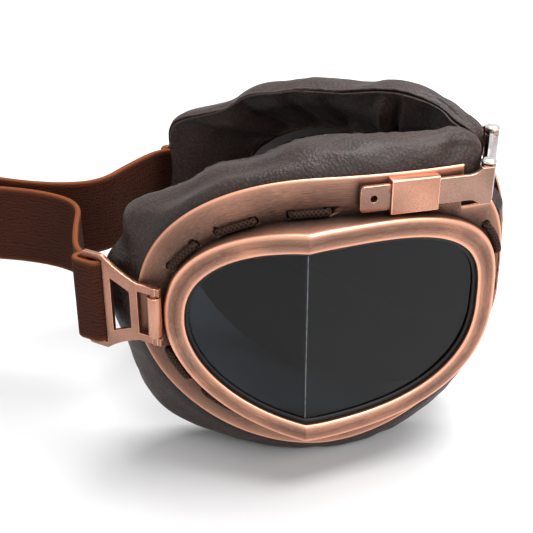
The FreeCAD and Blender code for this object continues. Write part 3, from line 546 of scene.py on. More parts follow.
def carried_round(side, name, profile, girth, slot, material, node, masks=None):
    """A piece of the eyepiece: its profile carried round the lens."""
    points = to_goggles(creased_rings(profile[:, :3]), side)
    obj = grid_object(f"{side}_{name}", points, lengths=(RIM_LENGTH, girth), masks=masks)
    return finish_piece(obj, f"{side}_eyepiece", slot, material, f"{side}_{node}")


for side in SIDES:
    # The profile's last column is painted shade on the bezel's inner and outer walls and the middle of its face.
    masks = {"edge": BEZEL_PROFILE[:, 3], "painted_shade": BEZEL_PROFILE[:, 4]}
    rim = carried_round(side, "rim", BEZEL_PROFILE, RIM_GIRTH, "antique_copper", COPPER_RIM, "bezel", masks)
    seal = carried_round(side, "lens_seal", GASKET_PROFILE, GASKET_GIRTH, "gasket_rubber", RUBBER, "lens_gasket")
    print(rim.name, seal.name)

# %% [markdown]
# ## Lens panes
# The two flat panes of each lens are right as they are in the CAD model, so its nodes stay and take
# the smoke glass, and the ring behind them takes blackened steel. The joint at the crease is a thin
# bead of clear cement that catches the light; its pale grey colour is partly a painted highlight.

# %% Panes and crease bead
BEAD_FOOT, BEAD_HEAD, BEAD_BEHIND, BEAD_LENGTH = 1.3, 1.2, 2.2, 54.0
BEAD_SECTION = np.array(((-0.12, 0.02), (-0.09, -0.04), (0.0, -0.06), (0.09, -0.04), (0.12, 0.02), (0.0, 0.3)))


def make_crease_bead(side):
    """A small rounded section carried up the crease in front of the panes' joint."""
    heights = np.linspace(PUPIL[1] - LENS[3] + BEAD_FOOT, PUPIL[1] + LENS[2] - BEAD_HEAD, 30)
    depth = np.full(heights.size, BEAD_BEHIND - PROW)
    section = np.column_stack((BEAD_SECTION, np.zeros(len(BEAD_SECTION))))
    rows = section[None] + np.stack((0 * heights, depth, heights), -1)[:, None]
    points = to_goggles(close_ends(rows), side)
    obj = grid_object(f"{side}_crease_bead", points, around=False, lengths=(BEAD_LENGTH, 1.0))
    return finish_piece(obj, f"{side}_eyepiece", "smoke_lens", CEMENT_AND_HIGHLIGHT)


def cement_and_highlight():
    """Pale cured cement, a little cloudy along its length; its pale colour is partly a painted highlight along the
    crease.
    """
    material, tree, shader = new_material("crease_cement_and_highlight", IOR=1.5)
    cloud = noise(tree, millimetres(tree), 0.3, 3.0)
    # Pale grey: partly the cement's colour, partly a painted highlight along the crease.
    colour = mix(tree, cloud, linear(64, 66, 68), linear(128, 130, 132))
    link_look(tree, shader, colour, ramp(tree, cloud, 0.3, 0.7, 0.2, 0.4))
    return material


CEMENT_AND_HIGHLIGHT = cement_and_highlight()
for side in SIDES:
    print(make_crease_bead(side).name)
    for node, material in (("temple_pane", SMOKE), ("nose_pane", SMOKE), ("lens_retainer", DARK_STEEL)):
        coats = frame["nodes"][f"{side}_{node}"].data.materials
        coats.clear()
        coats.append(material)

# %% [markdown]
# ## Flange and lacing
# The flange is a thin plate, bent to the face, that carries everything. Its outline is an oval that
# isn't the lens's, so its loops blend from one to the other. The lacing cord comes up through punched
# holes, runs along the bezel and goes down again, which draws the leather tight behind the plate.

# %% Lacing line
STITCH_SHARES = np.array((0.065, 0.263, 0.331, 0.405, 0.572, 0.634, 0.697))
STITCH_LENGTH = 9.6
WINDOW = LENS + 3.4
BEZEL = LENS + 5.3
LACE_REACH = BEZEL + 1.4


def lace_point(turn, lift):
    """Point of the lacing line, lifted off the bent flange along its normal."""
    x, z = oval(LACE_REACH, LENS_SQUARES, turn)
    lean = np.arcsin((x - PUPIL[0]) / BEND)
    foot = np.stack((x, flange_depth(x), z), -1)
    return foot + np.asarray(lift)[..., None] * np.stack((np.sin(lean), -np.cos(lean), 0 * x), -1)


def stitch_ends(share):
    """Turns at which a stitch starts and ends: half its length each way from its middle."""
    fine = 2 * math.pi * share + np.linspace(-0.6, 0.6, 1201)
    line = lace_point(fine, np.zeros(fine.size))
    reach = np.linalg.norm(line - line[fine.size // 2], axis=-1)
    inside = np.nonzero(reach < STITCH_LENGTH / 2)[0]
    return fine[inside[0]], fine[inside[-1]]


ENDS = [stitch_ends(share) for share in STITCH_SHARES]
print("stitches:", len(ENDS))

# %% Flange outline
# share of the way from the window to the outline, margin from the outline, depth behind the front
FLANGE_ROWS = np.array((
    *((share, 0.0, 0.0) for share in (0.0, 0.12, 0.25, 0.38, 0.5, 0.62, 0.74, 0.85)),
    (1.0, -0.7, 0.0), (1.0, -0.36, 0.0), (1.0, -0.12, 0.05), (1.0, -0.02, 0.2), (1.0, 0.0, 0.45),
    (1.0, -0.04, 0.75), (1.0, -0.25, 0.97), (1.0, -0.7, 1.0), (0.0, 0.0, 1.0)))
FLANGE_EDGE = np.array((0, 0, 0, 0, 0, 0.02, 0.08, 0.15, 0.35, 0.85, 1, 1, 0.9, 0.5, 0.2, 0, 0))
TAB_REACH, NOTCH_RISE = 35.7, 28.1


def turn_towards(x, z):
    """Turn at which the flange's oval lies in a direction from the pupil, in its nose-top quarter."""
    share = (z / FLANGE[2]) / (x / FLANGE[0])
    return math.atan(share ** (FLANGE_SQUARES[0] / 2))


def flange_outline(turn, margin):
    """The oval, pushed along its ray from the pupil onto the square tab at its top and the notch beside it."""
    x, z = oval(FLANGE + margin, FLANGE_SQUARES, turn)
    x, z = x - PUPIL[0], z - PUPIL[1]
    tab, notch, top = TAB_REACH + margin, NOTCH_RISE + margin, FLANGE[2] + margin
    with np.errstate(divide="ignore", invalid="ignore"):
        onto_floor, onto_side, onto_top = notch / z, tab / x, top / z
    raised = (x > 0) & (z > notch)
    steep = z / np.maximum(x, 1e-9)
    push = np.where(steep < notch / tab, onto_floor, np.where(steep < top / tab, onto_side, onto_top))
    push = np.where(raised, push, 1.0)
    return PUPIL[0] + x * push, PUPIL[1] + z * push


def flange_turns(count=420):
    """Even turns, with close pairs at the corners of the tab and the notch."""
    corners = [turn_towards(TAB_REACH, NOTCH_RISE), turn_towards(TAB_REACH, FLANGE[2]),
               math.asin((NOTCH_RISE / FLANGE[2]) ** (FLANGE_SQUARES[0] / 2))]
    close = np.add.outer(corners, (-0.004, 0.0, 0.004)).ravel()
    return np.sort(np.concatenate((full_turn(count), close)))


def flange_grid():
    """Loops between the window and the outline, and how far each point is outside the bezel."""
    turn = flange_turns()
    edge = np.stack(oval(BEZEL, LENS_SQUARES, turn), -1)
    window = np.stack(oval(WINDOW, LENS_SQUARES, turn), -1)
    rows, outside = [], []
    for share, margin, behind in FLANGE_ROWS:
        outline = np.stack(flange_outline(turn, margin), -1)
        x, z = np.moveaxis(window + share * (outline - window), -1, 0)
        rows.append(np.stack((x, flange_depth(x, behind), z), -1))
        outside.append(np.hypot(x - edge[:, 0], z - edge[:, 1]))
    return np.stack(rows, 1), np.stack(outside, 1)


# %% Punched holes
HOLE_RADIUS, HOLE_SIDES, HOLE_DEPTHS = 1.2, 20, (1.5, -2.5)


def punch(obj, cutter):
    """Cuts one mesh out of another and keeps the result as the first one's mesh."""
    cut = obj.modifiers.new("holes", "BOOLEAN")
    cut.object = cutter
    cut.operation = "DIFFERENCE"
    cut.solver = "EXACT"
    cut.use_self = True
    bpy.context.view_layer.update()
    result = bpy.data.meshes.new_from_object(obj.evaluated_get(bpy.context.evaluated_depsgraph_get()))
    obj.modifiers.clear()
    obj.data = result
    bpy.data.objects.remove(cutter)


def hole_cutter(side):
    """One mesh of round plugs through the flange, two to a stitch."""
    around = full_turn(HOLE_SIDES)
    ring = HOLE_RADIUS * np.stack((np.cos(around), 0 * around, np.sin(around)), -1)
    k = np.arange(HOLE_SIDES)
    following = (k + 1) % HOLE_SIDES
    vertices, faces = [], []
    for turn in np.ravel(ENDS):
        plug = lace_point(np.array((turn, turn)), np.array(HOLE_DEPTHS))[:, None] + ring[None]
        front = 2 * HOLE_SIDES * len(vertices)
        back = front + HOLE_SIDES
        faces += np.stack((front + k, front + following, back + following, back + k), -1).tolist()
        faces += [(front + k).tolist(), (back + k[::-1]).tolist()]
        vertices.append(to_goggles(plug.reshape(-1, 3), side))
    mesh = bpy.data.meshes.new("plugs")
    mesh.from_pydata(np.concatenate(vertices).tolist(), [], faces)
    face_outwards(mesh)
    return place_object("plugs", mesh)


# %% Face plates
PLATE_LENGTH, PLATE_GIRTH = 290.0, 26.0
# Painted shade at the bezel's foot: full within this many millimetres, then fading over the next.
PAINTED_SHADE_AT, PAINTED_SHADE_FADE = 0.4, 2.4
# Darkening towards the temple end: its most, where it starts and how far it runs.
TEMPLE_DARK_SHARE, TEMPLE_DARK_FROM, TEMPLE_DARK_RUN = 0.45, 18.0, 22.0


def make_flange(side):
    """The plate with its holes; painted shade fades away from the bezel's foot, and the plate is darker towards the
    temple end.
    """
    points, outside = flange_grid()
    # One mask holds the painted shade at the bezel's foot and the darkening towards the temple end.
    temple_dark = TEMPLE_DARK_SHARE * np.clip((-points[..., 0] - TEMPLE_DARK_FROM) / TEMPLE_DARK_RUN, 0, 1)
    painted_shade = np.maximum(np.exp(-np.maximum(outside - PAINTED_SHADE_AT, 0) / PAINTED_SHADE_FADE), temple_dark)
    masks = {"edge": FLANGE_EDGE, "painted_shade": painted_shade}
    lengths = (PLATE_LENGTH, PLATE_GIRTH)
    obj = grid_object(f"{side}_face_plate", to_goggles(points, side), lengths=lengths, masks=masks)
    punch(obj, hole_cutter(side))
    return finish_piece(obj, f"{side}_eyepiece", "antique_copper", COPPER_FLANGE, f"{side}_flange")


# %% Lacing
LACE_HALF_WIDTH, LACE_HALF_HEIGHT, LACE_GIRTH = 1.05, 0.78, 5.8
LACE_LIFT, LACE_DIP = 0.95, 1.7


def make_lacing(side):
    """Flattened tubes: each follows its stitch, dips into its holes at both ends and has an oval section."""
    along = np.linspace(0, 1, 40)
    around = full_turn(14)
    parts = []
    for start, end in ENDS:
        turn = start + (end - start) * np.clip((along - 0.06) / 0.88, 0, 1)
        off_middle = np.abs(2 * along - 1)
        lift = LACE_LIFT * (1 - off_middle ** 9) - LACE_DIP * off_middle ** 24
        centre = lace_point(turn, lift)
        forward = unit(np.gradient(centre, axis=0))
        inward = np.array((PUPIL[0], 0, PUPIL[1])) - centre
        inward = unit(inward - forward * np.sum(inward * forward, -1, keepdims=True))
        out = np.cross(forward, inward)
        tube = (centre[:, None] + LACE_HALF_WIDTH * np.cos(around)[None, :, None] * inward[:, None]
                + LACE_HALF_HEIGHT * np.sin(around)[None, :, None] * out[:, None])
        points = to_goggles(close_ends(tube), side)
        parts.append(grid_object("stitch", points, around=False, lengths=(STITCH_LENGTH, LACE_GIRTH)))
    obj = join(parts, f"{side}_lace")
    return finish_piece(obj, f"{side}_eyepiece", "lacing_cord", BRAID, f"{side}_lacing_cord")


def join(parts, name):
    """Joins meshes into the first one's object."""
    with bpy.context.temp_override(active_object=parts[0], selected_editable_objects=parts):
        bpy.ops.object.join()
    parts[0].name = name
    parts[0].data.name = name
    return parts[0]


for side in SIDES:
    print(make_flange(side).name, make_lacing(side).name)

# %% [markdown]
# ## Leather cushions
# Each cushion is a padded roll of soft leather, laced to the flange on one side and open to the face.
# A smooth ring would look like a tyre: real leather is cut a little large, sewn along a lip and
# stuffed, so it bulges on the outside, and its inner panel hangs slack from the seam. The section is
# a spline through loops; its lip stands back over the brow and comes right forward at the nose.
# Blender's cloth swells it against its sewn lines, and the seam, puckers and folds come after that.

# %% Cushion sizes
# swell past the flange's outline, share of the way to the lip
OUTER_LOOPS = ((0.0, 0.0), (0.46, 0.08), (0.8, 0.25), (0.96, 0.47), (1.0, 0.7), (0.97, 0.87), (0.85, 0.975),
               (0.62, 1.0))
# share of the way out from the throat to the lip, share of the way to the lip
INNER_LOOPS = ((0.8, 0.88), (0.58, 0.64), (0.34, 0.4), (0.12, 0.17), (0.0, 0.05), (0.0, 0.0))
THROAT = WINDOW + 0.8
LIP_SWELL, LIP_INSET = 0.42, 1.2
SEAT = 0.2
COLUMNS, ROWS = 256, 64
FINE_COLUMNS, FINE_ROWS = 560, 128
SEAM_AT = 6.2
SHRUNK, HEM_INSET = 0.6, 0.8
NOSE_END, NOSE_BULGE, NOSE_WALL, NOSE_STEP, NOSE_LIFT, NOSE_SLOPE = 46.0, 3.0, 2.5, 28.0, 2.5, 1.5


print("cushion loops:", len(OUTER_LOOPS), "outside and", len(INNER_LOOPS), "inside")

# %% Cushion form
def smooth(value, low, high):
    """Smooth step from 0 to 1 between two values."""
    share = np.clip((value - low) / (high - low), 0, 1)
    return share * share * (3 - 2 * share)


def lip_share(turn):
    """How far the lip stands from flange to face: all the way at the nose, three quarters over brow and cheek."""
    degrees = np.degrees(turn)
    brow = 1 - 0.27 * smooth(degrees, 65, 75)
    return np.where(degrees < 200, brow, 0.73 + 0.15 * smooth(degrees, 200, 260) + 0.12 * smooth(degrees, 285, 305))


def nose_limit(z, share):
    """X at which the cushion ends beside the bridge's hinge: it bulges with depth and runs on below."""
    bulge = np.minimum(1.0, share / 0.36)
    return NOSE_END + NOSE_BULGE * bulge + NOSE_SLOPE * np.maximum(0, NOSE_STEP + NOSE_LIFT * (1 - bulge) - z)


def even_columns(points):
    """Points of one turn, spaced evenly along each of its quarters."""
    quarter = len(points) // 4
    columns = []
    for k in range(4):
        run = np.take(points, np.arange(k * quarter, (k + 1) * quarter + 1), 0, mode="wrap")
        far = run_lengths(run)
        at = np.linspace(0, far[-1], COLUMNS // 4, endpoint=False)
        columns.append(np.stack([np.interp(at, far, run[:, axis]) for axis in range(3)], -1))
    return np.concatenate(columns)


def cushion_loops():
    """Control loops from the hem at the flange over the lip to the throat, each a full turn of points."""
    step = np.linspace(0, 1, 500, endpoint=False)
    eased_step = step ** 3 / (step ** 3 + (1 - step) ** 3)
    turn = np.add.outer(np.arange(4), eased_step).ravel() * math.pi / 2
    lip = lip_share(turn)
    loops = []

    def loop(reach, squares, share, wall=0.0):
        """Adds an oval at a share of the depth, cut off at the nose."""
        x, z = oval(reach, squares, turn)
        x = np.minimum(x, nose_limit(z, 1.0 if wall else share * lip) - wall)
        near = flange_depth(x, PLATE) + SEAT
        loops.append(even_columns(np.stack((x, near + share * lip * (rim_depth(x) - near), z), -1)))

    for swell, share in OUTER_LOOPS:
        loop(FLANGE + swell * SWELL - (SHRUNK if swell else HEM_INSET), CUSHION_SQUARES, share)
    rim = FLANGE + LIP_SWELL * SWELL - LIP_INSET
    for share_out, share in INNER_LOOPS:
        loop(THROAT + share_out * (rim - THROAT), LENS_SQUARES + share_out * (CUSHION_SQUARES - LENS_SQUARES),
             share, NOSE_WALL)
    return np.stack(loops, 1)


# %% Splines and waves
def spline(loops, place):
    """Smooth curve through the loops at the given places: each span is a cubic from its four nearest loops."""
    last = loops.shape[1] - 1
    k = np.minimum(place.astype(int), last - 1)
    t = (place - k)[None, :, None]
    a, b, c, d = (loops[:, np.clip(k + step, 0, last)] for step in (-1, 0, 1, 2))
    return 0.5 * (2 * b + (c - a) * t + (2 * a - 5 * b + 4 * c - d) * t ** 2 + (3 * b - a - 3 * c + d) * t ** 3)


def finer(grid):
    """Grid with more rows and columns, by the same cubic both ways; the columns run on round the ring."""
    rows = spline(grid, np.linspace(0, grid.shape[1] - 1, FINE_ROWS))
    ring = np.concatenate((rows[-2:], rows, rows[:3])).transpose(1, 0, 2)
    return spline(ring, 2 + np.linspace(0, len(grid), FINE_COLUMNS, endpoint=False)).transpose(1, 0, 2)


def wave(turn, seed, orders, size):
    """Sum of sines around the ring with seeded phases, its largest value the size."""
    draw = np.random.default_rng(seed)
    total = np.zeros_like(turn)
    for order in orders:
        total += draw.normal() / math.sqrt(order) * np.sin(order * turn + draw.uniform(0, 2 * math.pi))
    return size * total / np.abs(total).max()


# %% Stuffing
LEATHER_CLOTH = {"vertex_group_mass": "sewn", "quality": 6, "mass": 0.15, "tension_stiffness": 12,
                 "compression_stiffness": 6, "shear_stiffness": 4, "bending_stiffness": 1.2,
                 "use_pressure": True, "uniform_pressure_force": 3.0, "shrink_min": -0.012}
STUFFING_FRAMES, MOST_SWELL, EASINGS = 18, 1.8, 5


def stuff(obj, sewn):
    """Swells a mesh by cloth pressure while its sewn points stay, and returns the points it comes to."""
    group = obj.vertex_groups.new(name="sewn")
    group.add(sewn.tolist(), 1.0, "REPLACE")
    cloth = obj.modifiers.new("stuffing", "CLOTH")
    for name, value in LEATHER_CLOTH.items():
        setattr(cloth.settings, name, value)
    cloth.settings.effector_weights.gravity = 0
    cloth.point_cache.frame_start = 1
    cloth.point_cache.frame_end = STUFFING_FRAMES
    for number in range(1, STUFFING_FRAMES + 1):
        scene.frame_set(number)
    result = obj.evaluated_get(bpy.context.evaluated_depsgraph_get()).to_mesh()
    points = np.empty(3 * len(result.vertices), np.float32)
    result.vertices.foreach_get("co", points)
    obj.modifiers.clear()
    obj.vertex_groups.clear()
    scene.frame_set(1)
    return points.reshape(-1, 3).astype(float)


def limit(points, base, most):
    """Keeps each point within a distance of its place before stuffing."""
    move = points - base
    far = np.linalg.norm(move, axis=-1, keepdims=True)
    return base + move * np.minimum(1, most / np.maximum(far, 1e-9))


def eased(grid, rounds):
    """Grid of points, each moved towards the mean of its neighbours, except the sewn ends of the section."""
    for _ in range(rounds):
        around = (np.roll(grid, 1, 0) + np.roll(grid, -1, 0)) / 2
        across = grid.copy()
        across[:, 1:-1] = (grid[:, 2:] + grid[:, :-2]) / 2
        grid = 0.5 * grid + 0.25 * around + 0.25 * across
    return grid


def stuffed_cushion():
    """Cushion grid after stuffing, which may move a point by MOST_SWELL millimetres."""
    loops = cushion_loops()
    place = np.linspace(0, loops.shape[1] - 1, ROWS)
    rows = spline(loops, place)
    sewn_rows = np.array((0, 1, 2, int(np.argmin(np.abs(place - SEAM_AT))), ROWS - 3, ROWS - 2, ROWS - 1))
    sewn = (np.arange(COLUMNS)[:, None] * ROWS + sewn_rows).ravel()
    draft = grid_object("draft", rows * MM)
    swollen = limit(stuff(draft, sewn) / MM, rows.reshape(-1, 3), MOST_SWELL).reshape(rows.shape)
    bpy.data.objects.remove(draft)
    return eased(swollen, EASINGS)


# %% Seam, puckers and folds
# turn in degrees, width in degrees and size in mm of the dents and bulges in each cushion's outside
DENTS = {"right": ((114, 15, -5.0), (139, 14, -5.6), (153, 6, 2.0), (163, 5, -2.0), (175, 7, 1.2), (197, 9, -1.5),
                   (221, 14, 2.2)),
         "left": ((155, 8, 6.0), (136, 7, -1.8), (116, 8, -0.9), (72, 14, 3.4))}
# the same for the height of the corner beside the nose
RISES = {"right": ((50, 11, 2.0),), "left": ((60, 10, 1.2),)}
# turn and width in degrees, and depth in mm, of the creases that run from the seam down the inner panel
CREASES = ((69, 1.3, 2.2), (74, 2.2, -1.6), (96, 3.5, 1.1), (113, 3.0, 1.3), (131, 2.4, 1.5), (139, 4.0, -1.5),
           (150, 3.0, 1.6), (205, 4.0, 1.2), (243, 3.5, 1.2), (288, 3.0, 1.4))
SEAM_WIDTH, SEAM_DEPTH, BESIDE_LIFT = 0.16, 1.0, 0.35
BESIDE_AT, BESIDE_WIDTH = 0.35, 0.4
PUCKER, SLACK, WRINKLE, NOSE_WRINKLE = 0.12, 0.5, 0.13, 0.3
NOSE_WRINKLES_AT, NOSE_WRINKLES_WIDTH = 52, 9
# places along the section at which the outside and the inner panel begin, are full, fade and end
OUTSIDE, INSIDE = (0.4, 3.0, 6.0, 9.5), (6.6, 8.0, 10.0, 12.6)


def bumps(degrees, parts):
    """Sum of bell curves around the ring, each with its place, width and size."""
    total = np.zeros_like(degrees)
    for at, width, size in parts:
        total += size * np.exp(-((degrees - at) / width) ** 2)
    return total


def grid_normals(grid):
    """Unit normals from the cross product of the two directions along the grid."""
    around = np.roll(grid, -1, 0) - np.roll(grid, 1, 0)
    across = np.gradient(grid, axis=1)
    normal = np.cross(across, around)
    return normal / np.maximum(np.linalg.norm(normal, axis=-1, keepdims=True), 1e-9)


def dressed_cushion(grid, side):
    """Fine grid with its dents, seam groove, puckers beside the seam, slack folds inside and fine wrinkles."""
    fine = finer(grid)
    place = np.linspace(0, len(OUTER_LOOPS) + len(INNER_LOOPS) - 1, FINE_ROWS)[None]
    middle = np.array((PUPIL[0], 0, PUPIL[1]))
    away = fine[:, FINE_ROWS // 4] - middle
    turn = np.arctan2(away[:, 2], away[:, 0])[:, None] % (2 * math.pi)
    degrees = np.degrees(turn)
    outward = unit(away * (1, 0, 1))
    outer, inner = (smooth(place, *span[:2]) * (1 - smooth(place, *span[2:])) for span in (OUTSIDE, INSIDE))
    fine = fine + (bumps(degrees, DENTS[side]) * outer)[..., None] * outward[:, None]
    fine[..., 2] += bumps(degrees, RISES[side]) * outer
    seam = np.exp(-((place - SEAM_AT) / SEAM_WIDTH) ** 2)
    beside = np.exp(-((np.abs(place - SEAM_AT) - BESIDE_AT) / BESIDE_WIDTH) ** 2)
    pucker = wave(turn, 3, range(70, 110, 3), PUCKER) * beside
    slack = -bumps(degrees, CREASES) * inner + wave(turn, 8, range(9, 26), SLACK) * inner
    skew = turn + 0.05 * place
    patches = smooth(wave(turn, 21, range(2, 9), 1.0), -0.2, 0.7)
    wrinkle = wave(skew, 11, range(24, 60, 2), WRINKLE) * outer * patches
    near_nose = np.exp(-((degrees - NOSE_WRINKLES_AT) / NOSE_WRINKLES_WIDTH) ** 2)
    nose = near_nose * wave(place + 2 * turn, 5, (3, 4, 6, 9), NOSE_WRINKLE) * outer
    lift = BESIDE_LIFT * beside - SEAM_DEPTH * seam + pucker + slack + wrinkle + nose
    return fine + lift[..., None] * grid_normals(fine), place[0]


# %% Leather rolls
# Widths of the painted shade in the seam's groove and along the hem at the flange.
SEAM_SHADE, HEM_SHADE = 0.1, 0.3
MIDDLE_GAP = 0.0004
ROLL_LENGTH, ROLL_GIRTH = 330.0, 70.0


def make_cushions():
    """Both rolls from one stuffed form, each with its own folds, kept above the floor and on its own side."""
    grid = stuffed_cushion()
    for side in SIDES:
        fine, place = dressed_cushion(grid, side)
        points = to_goggles(fine, side)
        points[..., 2] = np.maximum(points[..., 2], 0.0)
        points[..., 1] = SIDES[side] * np.maximum(SIDES[side] * points[..., 1], MIDDLE_GAP)
        # Painted shade: darker in the seam's groove and along the hem against the flange.
        painted_shade = np.maximum(np.exp(-((place - SEAM_AT) / SEAM_SHADE) ** 2), np.exp(-place / HEM_SHADE))
        lengths = (ROLL_LENGTH, ROLL_GIRTH)
        obj = grid_object(f"{side}_leather_roll", points, lengths=lengths, masks={"painted_shade": painted_shade})
        nodes = (f"{side}_cushion_cover", f"{side}_cushion_foam")
        finish_piece(obj, f"{side}_eyepiece", "brown_leather", LEATHER, *nodes)
    return fine.shape


print("cushion grid:", make_cushions())

# %% [markdown]
# ## Stamped hardware
# The buckles, lugs, sleeves, straps and the link are stampings whose CAD shapes are right, but a real
# stamping has no knife edges. A copy of each node is merged, its flat triangles are joined, and a
# Bevel modifier rounds its edges. The bevel's own faces take a second, brighter copper: worn edges.

# %% Rounded stampings
SHARP = math.radians(35)


def rounded(node, name, body, slot, width, flat, edge):
    """Copy of a CAD node with merged corners and bevelled edges."""
    mesh = frame["nodes"][node].data.copy()
    mesh.name = name
    work = bmesh.new()
    work.from_mesh(mesh)
    bmesh.ops.remove_doubles(work, verts=work.verts, dist=1e-6)
    bmesh.ops.dissolve_limit(work, angle_limit=math.radians(1.0), verts=work.verts, edges=work.edges)
    work.to_mesh(mesh)
    work.free()
    mesh.polygons.foreach_set("use_smooth", np.ones(len(mesh.polygons), bool))
    mesh.materials.clear()
    obj = finish_piece(place_object(name, mesh), body, slot, flat, node)
    mesh.materials.append(edge)
    bevel = obj.modifiers.new("edges", "BEVEL")
    bevel.width = width * MM
    bevel.segments = 2
    bevel.limit_method = "ANGLE"
    bevel.angle_limit = SHARP
    bevel.material = 1
    bevel.harden_normals = True
    return obj


# CAD node, piece, body, width of the bevel and finish of the flats
STAMPINGS = (("buckle", "buckle_plate", "buckle", 0.28, COPPER_BUCKLE),
             ("temple_lug", "hinge_lug", "eyepiece", 0.2, COPPER_FLAT),
             ("bridge_sleeve", "clip", "eyepiece", 0.3, COPPER_FLAT),
             ("bridge_strap", "bridge_bar", "bridge_strap", 0.2, COPPER_STRAP))
for side in SIDES:
    for node, name, body, width, flat in STAMPINGS:
        rounded(f"{side}_{node}", f"{side}_{name}", f"{side}_{body}", "antique_copper", width, flat, COPPER_EDGE)
link = rounded("bridge_link", "bridge_plate", "bridge_link", "link_steel", 0.18, LINK_STEEL, LINK_STEEL)
print("stampings:", len(STAMPINGS) * len(SIDES), "and", link.name)

# %% Hinge pins
# radius and height of the pin's outline, from the middle of its foot to the top of its head
PIN_PROFILE = np.array(((0.0, -5.05), (1.0, -5.05), (1.0, 5.2), (1.95, 5.22), (2.1, 5.34), (2.05, 5.6),
                        (1.75, 5.95), (1.2, 6.18), (0.6, 6.28), (0.0, 6.3)))


def make_pins():
    """A profile turned about each hinge's axis: shaft, brim and domed head."""
    turn = full_turn(40)
    parts = []
    for joint in frame["joints"]:
        if joint["name"].endswith("bridge_hinge"):
            radius, height = PIN_PROFILE.T * MM
            ring = np.stack((np.cos(turn)[:, None] * radius, np.sin(turn)[:, None] * radius,
                             np.broadcast_to(height, (turn.size, height.size))), -1)
            parts.append(grid_object("pin", ring + np.array(joint["pos_m"]), section=False))
    return finish_piece(join(parts, "hinge_rivets"), "bridge_link", "pin_steel", PIN_STEEL, "hinge_pins")


print(make_pins().name)

# %% [markdown]
# ## Elastic band
# The head band is one flat strip of woven elastic, looped round the outer bar of each buckle. It is
# modelled directly, as a rounded strip carried along its route in plan. Each half is cut into lengths
# at the joints that it spans: the loop rides on the buckle, and the next lengths turn from the buckle
# to the eyepiece, to the bridge strap and to the link, fixed in place rather than riding on a body.

# %% Band route
# plan points of the right half as shares of the band's reach behind the bridge, and lengths of the loop
BAND_WIDTH, BAND_THICK, BAND_ROUND = 25.0, 1.6, 0.45
BAND_REACH, BRIDGE_X = 202.0, 98.9
BAND_SHARES = np.array(((-0.567, -0.109), (-0.587, -0.042), (-0.644, -0.016), (-0.733, -0.013), (-0.807, -0.030),
                        (-0.876, -0.072), (-0.946, -0.077), (-0.990, -0.045), (-1.0, 0.0)))
BUCKLE_TURN = math.radians(180 - 36) + EYE_SPLAY
LOOP_NEAR, LOOP_FAR, LOOP_LIFT = 18.7, 23.0, 1.7
HINGE = {joint["name"]: np.array(joint["pos_m"]) / MM for joint in frame["joints"] if "pos_m" in joint}
BARREL = HINGE["right_buckle_hinge"]


def from_buckle(u, v):
    """Plan point at a distance along the buckle and off its plane."""
    c, s = math.cos(BUCKLE_TURN), math.sin(BUCKLE_TURN)
    return np.stack((BARREL[0] + c * u - s * v, BARREL[1] + s * u + c * v), -1)


def rounded_route(points, steps=24):
    """Curve that touches the middle of each run: a quadratic between neighbouring middles for each corner."""
    middles = (points[1:] + points[:-1]) / 2
    starts = np.concatenate((points[:1], middles[1:-1]))
    ends = np.concatenate((middles[1:-1], points[-1:]))
    t = np.linspace(0, 1, steps, endpoint=False)[None, :, None]
    a, b, c = starts[:, None], points[1:-1][:, None], ends[:, None]
    curve = ((1 - t) ** 2 * a + 2 * t * (1 - t) * b + t ** 2 * c).reshape(-1, 2)
    return np.concatenate((curve, points[-1:]))


def band_route():
    """Plan of the right half of the band from inside the loop to the plane of symmetry."""
    start = np.array([LOOP_NEAR, LOOP_FAR + LOOP_LIFT + BAND_THICK])
    leave = from_buckle(start, np.full(2, -LOOP_LIFT))
    rest = BAND_SHARES * BAND_REACH + (BRIDGE_X, 0.0)
    return rounded_route(np.concatenate((leave[:1], leave, rest)))


print("band half route in mm:", round(float(run_lengths(band_route())[-1]), 1))

# %% Band pieces
# millimetres along the route at which the band is cut into pieces, and how wide its worn cut edges are
BAND_CUTS, EDGE_WIDE, EDGE_FADE = (0.0, 22.0, 34.0), 0.75, 0.6
FACE_STEPS = 25


def band_strip(name, plan, side, closed=False):
    """Rounded strip along a plan: its section is a flat band on edge, and its mask marks the cut edges."""
    along = unit(np.roll(plan, -1, 0) - np.roll(plan, 1, 0) if closed else np.gradient(plan, axis=0))
    aside = np.stack((-along[:, 1], along[:, 0]), -1)
    half, thick = BAND_WIDTH / 2, BAND_THICK / 2
    face = np.linspace(-half + BAND_ROUND, half - BAND_ROUND, FACE_STEPS)
    up = np.concatenate((face, (half - 0.1, half, half - 0.1)))
    out = np.concatenate((np.full(FACE_STEPS, thick), (thick * 0.75, 0.0, -thick * 0.75)))
    up, out = np.concatenate((up, -up)), np.concatenate((out, -out))
    height = np.broadcast_to((BARREL[2] + up)[None, :, None], (len(plan), up.size, 1))
    points = np.concatenate((plan[:, None] + out[None, :, None] * aside[:, None], height), -1)
    points[..., 1] *= -SIDES[side]
    edge = np.clip((np.abs(up) - half + EDGE_WIDE) / EDGE_FADE, 0, 1)
    length = run_lengths(plan)[-1]
    points = points if closed else close_ends(points)
    return grid_object(name, points * MM, around=closed, lengths=(length, 2 * BAND_WIDTH), masks={"edge": edge})


